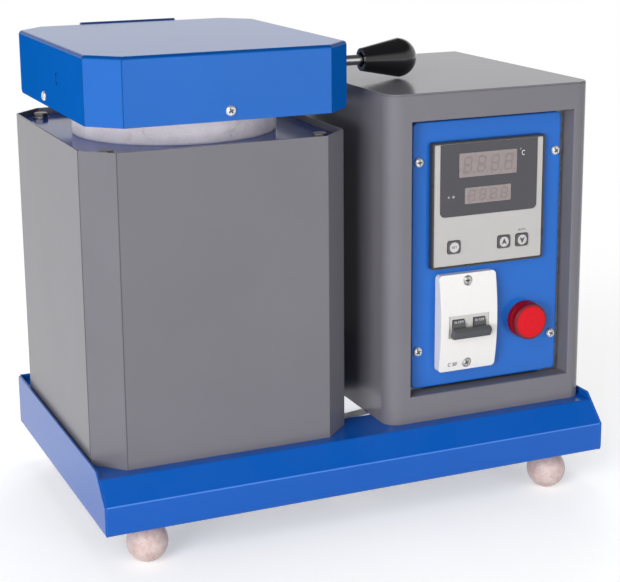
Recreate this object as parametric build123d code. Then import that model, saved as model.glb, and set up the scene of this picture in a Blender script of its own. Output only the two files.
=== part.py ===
from build123d import *
import os
from math import atan2, cos, pi, radians, sin, sqrt

# Electric melting furnace: an octagonal fibre-lined pot furnace under a hinged cap, beside a control box,
# both standing on one folded sheet tray with four ball feet.
# Millimetres. +Z up, -Y is the operator's side, origin on the floor under the middle of the tray.

# ---------------------------------------------------------------- driving dimensions
# shared
overrun = 1.0                 # cutters run this far past what they cut
tiny = 0.01                   # how near an edge lies to the place it is looked for
screw_play = 0.2              # radial play of a screw in its hole

# floor tray
base_width = 400.0
base_depth = 250.0
base_height = 37.0            # underside of the lip to the top plate
base_lip = 22.0               # upright front lip
base_bend_setback = 15.0      # the sloped front runs back this far to the top plate
base_rise = 5.0               # end plates and back plate stand this far above the top plate
base_sheet = 1.5
base_bend_radius = 2.5
base_return = 36.0            # flanges folded in under the tray, which carry the feet
base_corner_radius = 3.0
end_plate_corner = 4.0
slot_from_front = 56.0        # wiring slot in the top plate, between furnace and control box
slot_depth = 92.0
slot_overlap = 14.0           # the slot runs this far under each of the two bodies

# ball feet
ball_diameter = 30.0
ball_flat = 0.5               # ground off the top and the bottom of each ball
foot_washer_thickness = 2.0
foot_washer_diameter = 14.0
foot_inset_x = 36.0
foot_inset_y = 21.5
foot_screw_diameter = 5.0
foot_screw_depth = 15.0
foot_screw_head = 9.0
foot_screw_head_height = 3.0
foot_screw_end_room = 1.0     # below the screw's tip in the ball

# furnace jacket
jacket_width = 197.0
jacket_depth = 220.0
jacket_height = 225.0
jacket_chamfer = 21.0
jacket_sheet = 1.2
jacket_bend_radius = 2.0
jacket_side_gap = 2.0         # to the tray's left end plate
jacket_front_setback = 24.0

# furnace inside
floor_pan_height = 22.0
floor_pan_sheet = 2.0
top_plate_recess = 5.0        # below the jacket's rim
top_plate_thickness = 2.0
mouth_clearance = 1.5         # top plate's hole round the muffle
chamber_radius = 42.0
muffle_wall = 8.0
muffle_rim_round = 2.0
muffle_below_collar = 2.0     # the muffle's rim stands this far below the fibre collar's
hearth_height = 60.0
hearth_radius = 41.0
collar_radius = 76.0
collar_round = 6.0
collar_lid_gap = 0.3
insulation_gap = 0.5
coil_turns = 9
coil_pitch = 13.0
coil_wire = 3.0
coil_gap = 0.4                # between the muffle's wall and the wire
coil_start = 28.0             # above the floor pan
coil_room = 1.5               # between the wire and the insulation
crucible_radius = 34.0
crucible_foot_radius = 27.0
crucible_height = 128.0
crucible_wall = 7.0
crucible_floor = 12.0
crucible_lip_round = 2.0
thermocouple_diameter = 4.0
thermocouple_radius = 38.5    # distance from the chamber's axis
thermocouple_length = 150.0
thermocouple_head = 12.0
thermocouple_head_height = 9.0
thermocouple_tip_round = 1.6
thermocouple_room = 0.2       # round the sheath
terminal_length = 44.0
terminal_width = 26.0
terminal_height = 16.0
terminal_slot_gap = 4.0       # from the wiring slot's edge
terminal_groove = 2.0
terminal_groove_depth = 3.0
sleeve_diameter = 5.0
sleeve_drop = 4.3             # the sleeve's axis below the tray's top surface
sleeve_from_slot = 8.0        # its axis behind the slot's front edge, at the furnace side
sleeve_skew = 14.0            # further back at the box side

# top plate fixings
bolt_inset = 19.5             # from the jacket's outer faces
bolt_diameter = 8.0
bolt_head_flats = 13.0
bolt_head_height = 4.2
bolt_length = 14.0
bolt_crown = 1.0              # height of the turned-down corners
bolt_washer_diameter = 16.0
bolt_washer_thickness = 1.2
gusset_leg = 40.0
gusset_thickness = 4.0
gusset_room = 18.0            # hollow in the lining under each gusset

# lid
lid_width = 193.0
lid_depth = 222.0
lid_chamfer = 21.0
lid_height = 47.5
lid_sheet = 1.2
lid_bend_radius = 2.0
lid_top_radius = 3.0
lid_flap_radius = 5.0         # rounded lower corners of the folded flaps
lid_gap = 17.0                # jacket's rim to the lid's lower edge
lid_overhang = 6.0            # the lid's front stands this far in front of the jacket
lid_offset = 2.0              # the lid hangs this far to the right of the jacket's middle
lid_frame_height = 15.0
lid_frame_flange = 10.0
lid_frame_raise = 1.0
lid_board_gap = 0.5
lid_screw_raise = 7.0
lid_screw_room = 8.0          # pockets in the board round the screws' ends
lid_side_screw_offset = 14.0  # side screws sit behind the middle

# lid handle
rod_diameter = 8.0
rod_from_front = 90.0         # of the lid
rod_exposed = 43.5            # lid's side to the knob
rod_hole_gap = 0.2
rod_end_inset = 1.5           # the rod's far end stops inside the left wall
spare_hole_diameter = 9.0
rod_nut_flats = 13.0
rod_nut_height = 5.0
rod_nut_room = 1.2            # pockets in the board round the nut
knob_length = 45.5
knob_taper_length = 31.0
knob_small_diameter = 17.6
knob_large_diameter = 30.0
knob_socket_diameter = 11.5
knob_socket_depth = 4.0
knob_thread_depth = 20.0

# lid hinge
hinge_width = 78.0
hinge_barrel = 8.0
hinge_pin = 4.0
hinge_running_gap = 0.05
hinge_knuckles = 5
hinge_knuckle_gap = 0.4
hinge_leaf = 2.0
hinge_above_lid = 1.0         # top of the barrel over the lid's top
hinge_leaf_drop = 32.0        # lid leaf below the pin
hinge_foot_overlap = 26.0     # fixed leaf on the jacket
hinge_lid_gap = 0.6           # barrel to the lid's back
hinge_sweep_gap = 0.4
hinge_rivet = 5.0
hinge_rivet_height = 2.0
hinge_rivet_spacing = 48.0
hinge_rivet_head = 8.5
hinge_rivet_tail = 7.5
hinge_rivet_tail_height = 1.0
hinge_lid_rivet_drop = 22.0   # lid leaf's rivets below the pin

# control box
box_width = 170.7
box_depth = 215.0
box_height = 250.0
box_sheet = 1.2
box_corner_radius = 12.0
box_rear_radius = 2.0
box_rear_lip = 12.0
box_side_gap = 0.8            # to the tray's right end plate
box_front_setback = 25.0
box_top_inset = 0.3
box_top_round = 0.5
frame_stile_left = 19.2
frame_stile_right = 14.7
frame_rail = 20.7
frame_return = 16.0           # the window's edges are folded back this deep
frame_edge_radius = 1.0

# front panel
panel_recess = 10.0
panel_side_gap = 5.2
panel_end_gap = 2.3
panel_sheet = 1.5
panel_corner_radius = 4.0
panel_edge_radius = 1.2
panel_rail_sheet = 1.5
panel_rail_lap = 12.0
panel_screw_inset_x = 5.0
panel_screw_inset_z = 29.5

# pan-head screws
screw_diameter = 4.0
screw_head_diameter = 7.5
screw_head_height = 2.6
screw_head_round = 1.6
screw_reach = 4.0

# temperature controller, a standard 96 x 96 panel instrument
controller_size = 96.0
controller_corner = 2.0
controller_edge_radius = 0.8
controller_face_corner = 1.0
controller_proud = 5.0
controller_border = 1.6
controller_face_inset = 0.6
controller_face_thickness = 1.2
controller_body = 90.5
controller_body_depth = 68.0
controller_cutout_gap = 0.75
controller_below_top = 15.4
controller_offset = 1.4       # to the left of the panel's middle
window_side_strip = 5.2
window_height = 54.6
window_top_gap = 0.4
window_corner = 4.0
window_thickness = 0.5
upper_display = (22.2, 9.2, 49.0, 18.2)    # from the left, from the top, width, height
lower_display = (27.2, 35.5, 39.3, 12.3)
display_thickness = 0.4
display_corner = 0.8
button_width = 11.0
button_height = 9.8
button_corner = 2.0
button_gap = 0.3
button_proud = 0.9
button_travel = 0.7
button_stem = 6.0
button_edge_radius = 0.5
button_base_height = 16.0
button_positions = {"set": 18.9, "up": 61.6, "down": 77.3}

# breaker
cover_width = 48.2
cover_height = 75.5
cover_edge = 6.0
cover_crown = 10.0
cover_corner = 3.0
cover_screw_boss = 9.6
cover_screw_recess = 1.2      # seat of the cover's screws behind its edge
cover_screw_reach = 8.0
cover_left_offset = 19.7
cover_bottom_offset = 12.3
cover_wall = 2.0
cover_screw_inset = 5.5
breaker_width = 33.8
breaker_window_height = 16.5
breaker_window_centre = 35.6  # above the cover's lower edge
breaker_window_gap = 0.3
breaker_nose_inset = 1.0      # behind the cover's crown
breaker_body_height = 70.0
breaker_body_depth = 50.0
toggle_axis_depth = 4.5       # behind the nose
toggle_barrel = 13.5
toggle_width = 10.0
toggle_pitch = 17.7
toggle_reach = 12.7
toggle_thickness = 4.5
toggle_tip_thickness = 5.5
toggle_rest_angle = 27.0      # below level, switched off
toggle_gap = 0.3
tie_bar_width = 31.5
tie_bar_depth = 5.0
tie_bar_height = 7.4
tie_bar_round = 2.2
toggle_pin = 2.0
toggle_pin_end = 2.0          # pin beyond the outer levers

# pilot lamp
lamp_x = 97.3                 # from the panel's left edge
lamp_z = 44.2                 # above the panel's lower edge
lamp_bezel_diameter = 29.0
lamp_bezel_depth = 5.0
lamp_lens_diameter = 25.0
lamp_lens_depth = 11.5
lamp_lens_round = 4.0
lamp_body_diameter = 22.0
lamp_body_depth = 36.0
lamp_hole_gap = 0.3
lamp_nut_diameter = 28.0
lamp_nut_depth = 5.0
lamp_bezel_wall = 5.5
lamp_bezel_round = 1.5
lamp_lens_wall = 2.5

# rear cover and cord inlet
louvre_width = 46.0
louvre_height = 4.0
louvre_pitch = 12.0
louvre_count = 6
louvre_column = 34.0          # middle of each column from the box's middle
louvre_top = 40.0             # first row below the cover's top edge
inlet_x = 46.0                # from the cover's right edge
inlet_z = 34.0                # above the cover's lower edge
inlet_bore = 9.0
inlet_neck = 15.0
inlet_flange = 21.0
inlet_flange_depth = 4.0
inlet_inner_depth = 5.0
inlet_inner_flange = 19.0
inlet_flange_round = 1.5
inlet_gap = 0.2
rear_screw_inset = 7.2
rear_screw_from_edge = 18.0

# power contactor inside the box
contactor_width = 54.0
contactor_depth = 75.0
contactor_height = 82.0
contactor_step = 14.0
contactor_setback = 105.0     # behind the box's front

# base fixings
base_screw_diameter = 5.0
base_screw_head = 9.0
base_screw_head_height = 3.0
base_screw_inset_x = 30.0     # from the jacket's and the box's outer faces
base_screw_inset_y = 20.0
base_screw_post = 10.0        # sleeves in the floor pan round the screws
box_floor_thickness = 2.4

# ---------------------------------------------------------------- places worked out from them
ball_height = ball_diameter - 2 * ball_flat
foot_height = ball_height + foot_washer_thickness
left = -base_width / 2
right = base_width / 2
front = -base_depth / 2
back = base_depth / 2
lip_bottom = foot_height
deck = lip_bottom + base_height
foot_screw_hole = foot_screw_diameter + 2 * screw_play
base_screw_hole = base_screw_diameter + 2 * screw_play
panel_screw_hole = screw_diameter + 2 * screw_play

jacket_left = left + base_sheet + jacket_side_gap
jacket_front = front + jacket_front_setback
axis_x = jacket_left + jacket_width / 2
axis_y = jacket_front + jacket_depth / 2
jacket_back = jacket_front + jacket_depth
rim = deck + jacket_height
pan_top = deck + floor_pan_height
plate_top = rim - top_plate_recess
plate_bottom = plate_top - top_plate_thickness

lid_front = jacket_front - lid_overhang
lid_back = lid_front + lid_depth
lid_y = (lid_front + lid_back) / 2
lid_bottom = rim + lid_gap
lid_top = lid_bottom + lid_height
lid_x = axis_x + lid_offset
lid_left = lid_x - lid_width / 2
lid_right = lid_x + lid_width / 2
board_bottom = lid_bottom + lid_frame_raise + lid_sheet
rod_y = lid_front + rod_from_front
rod_z = lid_bottom + lid_height / 2
knob_x = lid_right + rod_exposed
rod_hole = rod_diameter + 2 * rod_hole_gap

collar_top = board_bottom - collar_lid_gap
muffle_radius = chamber_radius + muffle_wall
probe_x = axis_x + thermocouple_radius
probe_hole = thermocouple_diameter + 2 * thermocouple_room
bolt_hole = bolt_diameter + 2 * screw_play
muffle_top = collar_top - muffle_below_collar
hearth_top = pan_top + hearth_height
coil_radius = muffle_radius + coil_gap + coil_wire / 2
lining_radius = coil_radius + coil_wire / 2 + coil_room

pin_z = lid_top + hinge_above_lid - hinge_barrel / 2
pin_y = lid_back + hinge_lid_gap + hinge_barrel / 2
hinge_left = axis_x - hinge_width / 2
hinge_right = axis_x + hinge_width / 2
hinge_rivet_places = [axis_x - hinge_rivet_spacing / 2, axis_x + hinge_rivet_spacing / 2]
jacket_rivet_z = rim - hinge_foot_overlap / 2
lid_rivet_z = pin_z - hinge_lid_rivet_drop

box_right = right - base_sheet - box_side_gap
box_left = box_right - box_width
box_x = (box_left + box_right) / 2
box_front = front + box_front_setback
box_back = box_front + box_depth
box_y = (box_front + box_back) / 2
box_top = deck + box_height
cover_plane = box_back - box_sheet
lid_plate_bottom = box_top - box_sheet
window_left = box_left + frame_stile_left
window_right = box_right - frame_stile_right
window_bottom = deck + frame_rail
window_top = box_top - frame_rail
window_x = (window_left + window_right) / 2
window_z = (window_bottom + window_top) / 2
panel_front = box_front + panel_recess
panel_left = window_left + panel_side_gap
panel_right = window_right - panel_side_gap
panel_bottom = window_bottom + panel_end_gap
panel_top = window_top - panel_end_gap
panel_back = box_front + frame_return

controller_left = (panel_left + panel_right - controller_size) / 2 - controller_offset
controller_top = panel_top - controller_below_top
controller_bottom = controller_top - controller_size
controller_x = controller_left + controller_size / 2
controller_z = controller_bottom + controller_size / 2
controller_front = panel_front - controller_proud
face_front = controller_front + controller_face_inset
face_back = face_front + controller_face_thickness
face_pocket = controller_size - 2 * controller_border
window_front = face_front - window_thickness
button_floor = face_front - button_proud + button_stem + button_travel + button_gap

cover_left = panel_left + cover_left_offset
cover_bottom = panel_bottom + cover_bottom_offset
cover_x = cover_left + cover_width / 2
cover_z = cover_bottom + cover_height / 2
breaker_z = cover_bottom + breaker_window_centre
nose_front = panel_front - cover_crown + breaker_nose_inset
toggle_y = nose_front + toggle_axis_depth
toggle_half_span = toggle_pitch / 2 + toggle_width / 2 + toggle_pin_end

lamp_centre_x = panel_left + lamp_x
lamp_centre_z = panel_bottom + lamp_z

slot_front = front + slot_from_front
slot_left = jacket_left + jacket_width - slot_overlap
slot_right = box_left + slot_overlap
terminal_left = slot_left - terminal_slot_gap
terminal_right = slot_right + terminal_slot_gap

inlet_centre_x = box_right - inlet_x
inlet_centre_z = deck + inlet_z

foot_places = [
    (x, y)
    for y in (front + foot_inset_y, back - foot_inset_y)
    for x in (left + foot_inset_x, right - foot_inset_x)
]
bolt_places = [
    (axis_x + i * (jacket_width / 2 - bolt_inset), axis_y + j * (jacket_depth / 2 - bolt_inset))
    for i in (-1, 1)
    for j in (-1, 1)
]
furnace_screw_places = [
    (
        axis_x + i * (jacket_width / 2 - base_screw_inset_x),
        axis_y + j * (jacket_depth / 2 - base_screw_inset_y),
    )
    for i in (-1, 1)
    for j in (-1, 1)
]
box_screw_places = [
    (box_x + i * (box_width / 2 - base_screw_inset_x), box_y + j * (box_depth / 2 - base_screw_inset_y))
    for i in (-1, 1)
    for j in (-1, 1)
]
rear_screw_places = [
    (x, z)
    for x in (box_left + rear_screw_inset, box_right - rear_screw_inset)
    for z in (deck + rear_screw_from_edge, box_top - rear_screw_from_edge)
]
panel_screw_places = [
    (x, z)
    for x in (panel_left + panel_screw_inset_x, panel_right - panel_screw_inset_x)
    for z in (panel_bottom + panel_screw_inset_z, panel_top - panel_screw_inset_z)
]
cover_screw_places = [
    (cover_x, cover_bottom + cover_screw_inset),
    (cover_x, cover_bottom + cover_height - cover_screw_inset),
]
cover_screw_seat = panel_front - cover_edge + cover_screw_recess
toggle_places = [cover_x - toggle_pitch / 2, cover_x + toggle_pitch / 2]

lid_screw_z = lid_bottom + lid_screw_raise
lid_side_screw_y = lid_y + lid_side_screw_offset
lid_screw_places = [
    Plane(origin=(lid_x, lid_front, lid_screw_z), z_dir=(0, -1, 0)).location,
    Plane(origin=(lid_x, lid_back, lid_screw_z), z_dir=(0, 1, 0)).location,
    Plane(origin=(lid_left, lid_side_screw_y, lid_screw_z), z_dir=(-1, 0, 0)).location,
    Plane(origin=(lid_right, lid_side_screw_y, lid_screw_z), z_dir=(1, 0, 0)).location,
]


# ---------------------------------------------------------------- shared shapes
def block(x0, x1, y0, y1, z0, z1):
    """A box between two corners."""
    size = Box(x1 - x0, y1 - y0, z1 - z0)
    return Pos((x0 + x1) / 2, (y0 + y1) / 2, (z0 + z1) / 2) * size


def rod_along_x(x0, x1, y, z, diameter):
    """A cylinder along X."""
    return Pos((x0 + x1) / 2, y, z) * Rot(0, 90, 0) * Cylinder(diameter / 2, x1 - x0)


def rod_along_y(x, y0, y1, z, diameter):
    """A cylinder along Y."""
    return Pos(x, (y0 + y1) / 2, z) * Rot(90, 0, 0) * Cylinder(diameter / 2, y1 - y0)


def rod_along_z(x, y, z0, z1, diameter):
    """A cylinder along Z."""
    return Pos(x, y, (z0 + z1) / 2) * Cylinder(diameter / 2, z1 - z0)


def octagon(width, depth, corner, bend):
    """A rectangle with 45 degree corners, whose eight bends are rounded."""
    outline = chamfer(Rectangle(width, depth).vertices(), corner)
    return fillet(outline.vertices(), bend)


def inset(outline, amount):
    """The outline drawn inwards by a sheet's thickness or a gap."""
    return offset(outline, amount=-amount)


def prism(outline, x, y, z0, z1):
    """A plan outline raised between two levels."""
    return Pos(x, y, z0) * extrude(outline, amount=z1 - z0)


def front_plate(outline, x, z, y0, y1):
    """An outline seen from the front, whose body runs from y0 back to y1."""
    plane = Plane(origin=(x, y1, z), x_dir=(1, 0, 0), z_dir=(0, -1, 0))
    return plane * extrude(outline, amount=y1 - y0)


def side_plate(outline, x0, x1):
    """A (y, z) outline seen from the right, whose body runs from x0 to x1."""
    return Pos(x0, 0, 0) * (Plane.YZ * extrude(outline, amount=x1 - x0))


def polygon(*points):
    """A face from its corners."""
    return make_face(Polyline(*points, close=True))


def turned(outline, place):
    """A (radius, height) outline turned about the height axis and put in its place."""
    return place * revolve(Plane.XZ * outline, axis=Axis.Z)


def facing(x, y, z, direction):
    """A place whose own +Z points along the direction."""
    return Plane(origin=(x, y, z), z_dir=direction).location


def hex_prism(flats, height):
    """A hexagonal prism on its own +Z axis."""
    return extrude(RegularPolygon(flats / 2, 6, major_radius=False), amount=height)


def pan_screw(reach):
    """A pan-head screw that points along -Z, its head's seat at the origin."""
    head = Pos(0, 0, screw_head_height / 2) * Cylinder(screw_head_diameter / 2, screw_head_height)
    head = fillet(head.edges().group_by(Axis.Z)[-1], screw_head_round)
    return head + Pos(0, 0, -reach / 2) * Cylinder(screw_diameter / 2, reach)


def screw_clearance(place):
    """The hole of a pan-head screw, through a wall or two at its seat."""
    return place * Pos(0, 0, -screw_reach) * Cylinder(panel_screw_hole / 2, 2 * screw_reach + 2 * overrun)


# ---------------------------------------------------------------- floor tray
def corner_envelope():
    """Limits the tray's lower side corners to a rounded front view."""
    height = base_height + base_rise
    outline = Pos(0, lip_bottom + height / 2) * Rectangle(base_width, height)
    outline = fillet(outline.vertices().group_by(Axis.Y)[0], base_corner_radius)
    return Pos(0, back, 0) * (Plane.XZ * extrude(outline, amount=base_depth))


def base_tray():
    """Top plate, sloped front, lip and lower flange, folded from one sheet."""
    outline = polygon(
        (front, lip_bottom),
        (front, lip_bottom + base_lip),
        (front + base_bend_setback, deck),
        (back, deck),
        (back, lip_bottom),
    )
    bends = [v for v in outline.vertices() if v.X < front + base_bend_setback + overrun]
    outline = fillet(bends, base_bend_radius)
    half = base_width / 2 - base_sheet
    tray = side_plate(outline - inset(outline, base_sheet), -half, half)
    tray -= block(left, right, front + base_return, back + overrun, lip_bottom - overrun, deck - base_sheet)
    tray -= block(left, right, back - base_sheet, back + overrun, lip_bottom - overrun, deck + overrun)
    tray -= block(slot_left, slot_right, slot_front, slot_front + slot_depth, lip_bottom, deck + overrun)
    for x, y in foot_places[:2]:
        tray -= rod_along_z(x, y, lip_bottom - overrun, lip_bottom + base_sheet + overrun, foot_screw_hole)
    for x, y in furnace_screw_places + box_screw_places:
        tray -= rod_along_z(x, y, deck - base_sheet - overrun, deck + overrun, base_screw_hole)
    return tray & corner_envelope()


def base_back_plate():
    """Upright back of the tray with its lower flange."""
    half = base_width / 2 - base_sheet
    plate = block(-half, half, back - base_sheet, back, lip_bottom, deck + base_rise)
    plate += block(-half, half, back - base_return, back, lip_bottom, lip_bottom + base_sheet)
    for x, y in foot_places[2:]:
        plate -= rod_along_z(x, y, lip_bottom - overrun, lip_bottom + base_sheet + overrun, foot_screw_hole)
    return plate & corner_envelope()


def base_end_plate(side):
    """Flat end plate that follows the front's slope and stands above the top plate."""
    slope = base_bend_setback / (base_height - base_lip)
    top = deck + base_rise
    outline = polygon(
        (front, lip_bottom),
        (front, lip_bottom + base_lip),
        (front + base_bend_setback + slope * base_rise, top),
        (back, top),
        (back, lip_bottom),
    )
    outline = fillet(outline.vertices().group_by(Axis.Y)[-1], end_plate_corner)
    x0 = left if side < 0 else right - base_sheet
    return side_plate(outline, x0, x0 + base_sheet) & corner_envelope()


def ball_feet():
    """Balls with two ground flats and a screw hole from above."""
    radius = ball_diameter / 2
    hole_bottom = ball_height - foot_screw_depth
    balls = []
    for x, y in foot_places:
        ball = Pos(x, y, ball_height / 2) * Sphere(radius)
        ball &= block(x - radius, x + radius, y - radius, y + radius, 0, ball_height)
        balls.append(ball - rod_along_z(x, y, hole_bottom, ball_height + overrun, foot_screw_hole))
    return balls


def foot_washers():
    """Spacing washers between the balls and the tray's flanges."""
    return [
        rod_along_z(x, y, ball_height, foot_height, foot_washer_diameter)
        - rod_along_z(x, y, ball_height - overrun, foot_height + overrun, foot_screw_hole)
        for x, y in foot_places
    ]


def foot_screws():
    """Screws from the tray's flanges down into the balls."""
    seat = lip_bottom + base_sheet
    tip = ball_height - foot_screw_depth + foot_screw_end_room
    return [
        rod_along_z(x, y, tip, seat, foot_screw_diameter)
        + rod_along_z(x, y, seat, seat + foot_screw_head_height, foot_screw_head)
        for x, y in foot_places
    ]


def base_screws():
    """Screws from below that hold the furnace's floor pan and the box's floor."""
    seat = deck - base_sheet
    return [
        rod_along_z(x, y, seat - base_screw_head_height, seat, base_screw_head)
        + rod_along_z(x, y, seat, deck + box_floor_thickness, base_screw_diameter)
        for x, y in furnace_screw_places + box_screw_places
    ]


# ---------------------------------------------------------------- furnace body
def jacket_outline():
    """Plan of the jacket's outer face."""
    return octagon(jacket_width, jacket_depth, jacket_chamfer, jacket_bend_radius)


def lining_outline():
    """Plan of what fits inside the jacket."""
    return inset(jacket_outline(), jacket_sheet + insulation_gap)


def furnace_jacket():
    """Open octagonal tube that the furnace is built into."""
    outline = jacket_outline()
    jacket = prism(outline - inset(outline, jacket_sheet), axis_x, axis_y, deck, rim)
    y0 = jacket_back - jacket_sheet - overrun
    for x in hinge_rivet_places:
        jacket -= rod_along_y(x, y0, jacket_back + overrun, jacket_rivet_z, hinge_rivet)
    return jacket


def floor_pan():
    """Inverted pan on the tray that carries the lining."""
    outline = lining_outline()
    ceiling = pan_top - floor_pan_sheet
    pan = prism(outline, axis_x, axis_y, deck, pan_top)
    pan -= prism(inset(outline, floor_pan_sheet), axis_x, axis_y, deck - overrun, ceiling)
    for x, y in furnace_screw_places:
        pan += rod_along_z(x, y, deck, ceiling, base_screw_post)
        pan -= rod_along_z(x, y, deck - overrun, deck + box_floor_thickness + overrun, base_screw_hole)
    return pan - rod_along_z(probe_x, axis_y, ceiling - overrun, pan_top + overrun, probe_hole)


def fibre_lining():
    """Fibre lining packed between the jacket and the wound muffle."""
    fill = prism(lining_outline(), axis_x, axis_y, pan_top, plate_bottom)
    fill -= rod_along_z(axis_x, axis_y, pan_top - overrun, plate_bottom + overrun, 2 * lining_radius)
    for x, y in bolt_places:
        fill -= Pos(x, y, plate_bottom) * Box(gusset_leg, gusset_leg, 2 * gusset_room)
    for x in hinge_rivet_places:
        y0 = jacket_back - jacket_sheet - hinge_rivet_height - overrun
        fill -= rod_along_y(x, y0, jacket_back, jacket_rivet_z, hinge_rivet_head + 2 * overrun)
    return fill


def hearth_brick():
    """Refractory plug under the crucible, inside the muffle's foot."""
    plug = rod_along_z(axis_x, axis_y, pan_top, hearth_top, 2 * hearth_radius)
    return plug - rod_along_z(probe_x, axis_y, pan_top - overrun, hearth_top + overrun, probe_hole)


def muffle_tube():
    """Ceramic tube that forms the hot chamber."""
    tube = rod_along_z(axis_x, axis_y, pan_top, muffle_top, 2 * muffle_radius)
    tube -= rod_along_z(axis_x, axis_y, pan_top - overrun, muffle_top + overrun, 2 * chamber_radius)
    return fillet(tube.edges().group_by(Axis.Z)[-1], muffle_rim_round)


def helix_point(turn):
    """Point and heading on the heating wire's centre line after a number of turns."""
    angle = 2 * pi * turn
    climb = coil_pitch / (2 * pi)
    point = Vector(
        axis_x + coil_radius * cos(angle),
        axis_y + coil_radius * sin(angle),
        pan_top + coil_start + coil_pitch * turn,
    )
    heading = Vector(-coil_radius * sin(angle), coil_radius * cos(angle), climb)
    return point, heading.normalized()


def biarc(start, heading, end, arrival):
    """Two arcs that leave start along heading and reach end along arrival."""
    span = end - start
    a = 2 * (1 - heading.dot(arrival))
    b = 2 * span.dot(heading + arrival)
    c = -span.dot(span)
    reach = (-b + sqrt(b * b - 4 * a * c)) / (2 * a)
    middle = (start + end) * 0.5 + (heading - arrival) * (reach / 2)
    first = TangentArc(start, middle, tangent=heading)
    return [first, TangentArc(middle, end, tangent=first % 1)]


def heating_coil():
    """Resistance wire wound round the muffle in one unbroken run."""
    arcs = []
    for half_turn in range(2 * coil_turns):
        start, heading = helix_point(half_turn / 2)
        end, arrival = helix_point((half_turn + 1) / 2)
        arcs += biarc(start, heading, end, arrival)
    start, heading = helix_point(0)
    section = Plane(origin=start, z_dir=heading) * Circle(coil_wire / 2)
    above, _ = helix_point(1)
    print("heating wire: least gap between turns", round((above - start).length - coil_wire, 2))
    return sweep(section, path=Wire(arcs))


def top_plate():
    """Recessed octagonal plate round the furnace's mouth."""
    plate = prism(lining_outline(), axis_x, axis_y, plate_bottom, plate_top)
    mouth = 2 * (muffle_radius + mouth_clearance)
    plate -= rod_along_z(axis_x, axis_y, plate_bottom - overrun, plate_top + overrun, mouth)
    for x, y in bolt_places:
        plate -= rod_along_z(x, y, plate_bottom - overrun, plate_top + overrun, bolt_hole)
    return plate


def corner_gussets():
    """Gussets in the jacket's corners that the top plate is bolted to."""
    outline = inset(jacket_outline(), jacket_sheet)
    half_x = jacket_width / 2
    half_y = jacket_depth / 2
    gussets = []
    for x, y in bolt_places:
        end_x = half_x if x > axis_x else -half_x
        end_y = half_y if y > axis_y else -half_y
        leg_x = end_x * (1 - gusset_leg / half_x)
        leg_y = end_y * (1 - gusset_leg / half_y)
        corner = polygon((end_x, end_y), (leg_x, end_y), (end_x, leg_y)) & outline
        gusset = prism(corner, axis_x, axis_y, plate_bottom - gusset_thickness, plate_bottom)
        gusset -= rod_along_z(x, y, plate_bottom - gusset_room, plate_bottom + overrun, bolt_hole)
        gussets.append(gusset)
    return gussets


def top_plate_bolts():
    """Hexagon bolts through the top plate and the gussets, their heads' corners turned down."""
    seat = plate_top + bolt_washer_thickness
    corners = bolt_head_flats / cos(radians(30)) / 2
    crown = polygon(
        (0, 0),
        (corners, 0),
        (corners, bolt_head_height - bolt_crown),
        (bolt_head_flats / 2, bolt_head_height),
        (0, bolt_head_height),
    )
    bolts = []
    for x, y in bolt_places:
        head = Pos(x, y, seat) * hex_prism(bolt_head_flats, bolt_head_height)
        head &= turned(crown, Pos(x, y, seat))
        bolts.append(head + rod_along_z(x, y, seat - bolt_length, seat, bolt_diameter))
    return bolts


def top_plate_washers():
    """Plain washers under the bolt heads."""
    top = plate_top + bolt_washer_thickness
    return [
        rod_along_z(x, y, plate_top, top, bolt_washer_diameter)
        - rod_along_z(x, y, plate_top - overrun, top + overrun, bolt_hole)
        for x, y in bolt_places
    ]


def fibre_collar():
    """Soft fibre ring round the mouth, which the lid's board comes down on."""
    ring = rod_along_z(axis_x, axis_y, plate_top, collar_top, 2 * collar_radius)
    ring = fillet(ring.edges().filter_by(GeomType.CIRCLE), collar_round)
    bore = 2 * (muffle_radius + insulation_gap)
    return ring - rod_along_z(axis_x, axis_y, plate_top - overrun, collar_top + overrun, bore)


def crucible():
    """Tapered melting pot that stands on the hearth."""
    outline = polygon(
        (0, 0),
        (crucible_foot_radius, 0),
        (crucible_radius, crucible_height),
        (crucible_radius - crucible_wall, crucible_height),
        (crucible_foot_radius - crucible_wall, crucible_floor),
        (0, crucible_floor),
    )
    pot = turned(outline, Pos(axis_x, axis_y, hearth_top))
    return fillet(pot.edges().group_by(Axis.Z)[-1], crucible_lip_round)


def thermocouple():
    """Sheathed probe that rises through the hearth beside the crucible, with its head in the floor pan."""
    foot = pan_top - floor_pan_sheet
    sheath = rod_along_z(probe_x, axis_y, foot, foot + thermocouple_length, thermocouple_diameter)
    sheath = fillet(sheath.edges().group_by(Axis.Z)[-1], thermocouple_tip_round)
    return sheath + rod_along_z(probe_x, axis_y, foot - thermocouple_head_height, foot, thermocouple_head)


def terminal_blocks():
    """Ceramic terminal blocks under the tray, one each side of the wiring slot."""
    y = slot_front + sleeve_from_slot + sleeve_skew / 2
    top = deck - base_sheet
    foot = top - terminal_height
    half = terminal_width / 2
    blocks = []
    for x0 in (terminal_left - terminal_length, terminal_right):
        x1 = x0 + terminal_length
        body = block(x0, x1, y - half, y + half, foot, top)
        for y_groove in (y - half / 2, y + half / 2):
            y0 = y_groove - terminal_groove / 2
            depth = foot + terminal_groove_depth
            body -= block(x0 - overrun, x1 + overrun, y0, y0 + terminal_groove, foot - overrun, depth)
        blocks.append(body)
    return blocks


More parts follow.
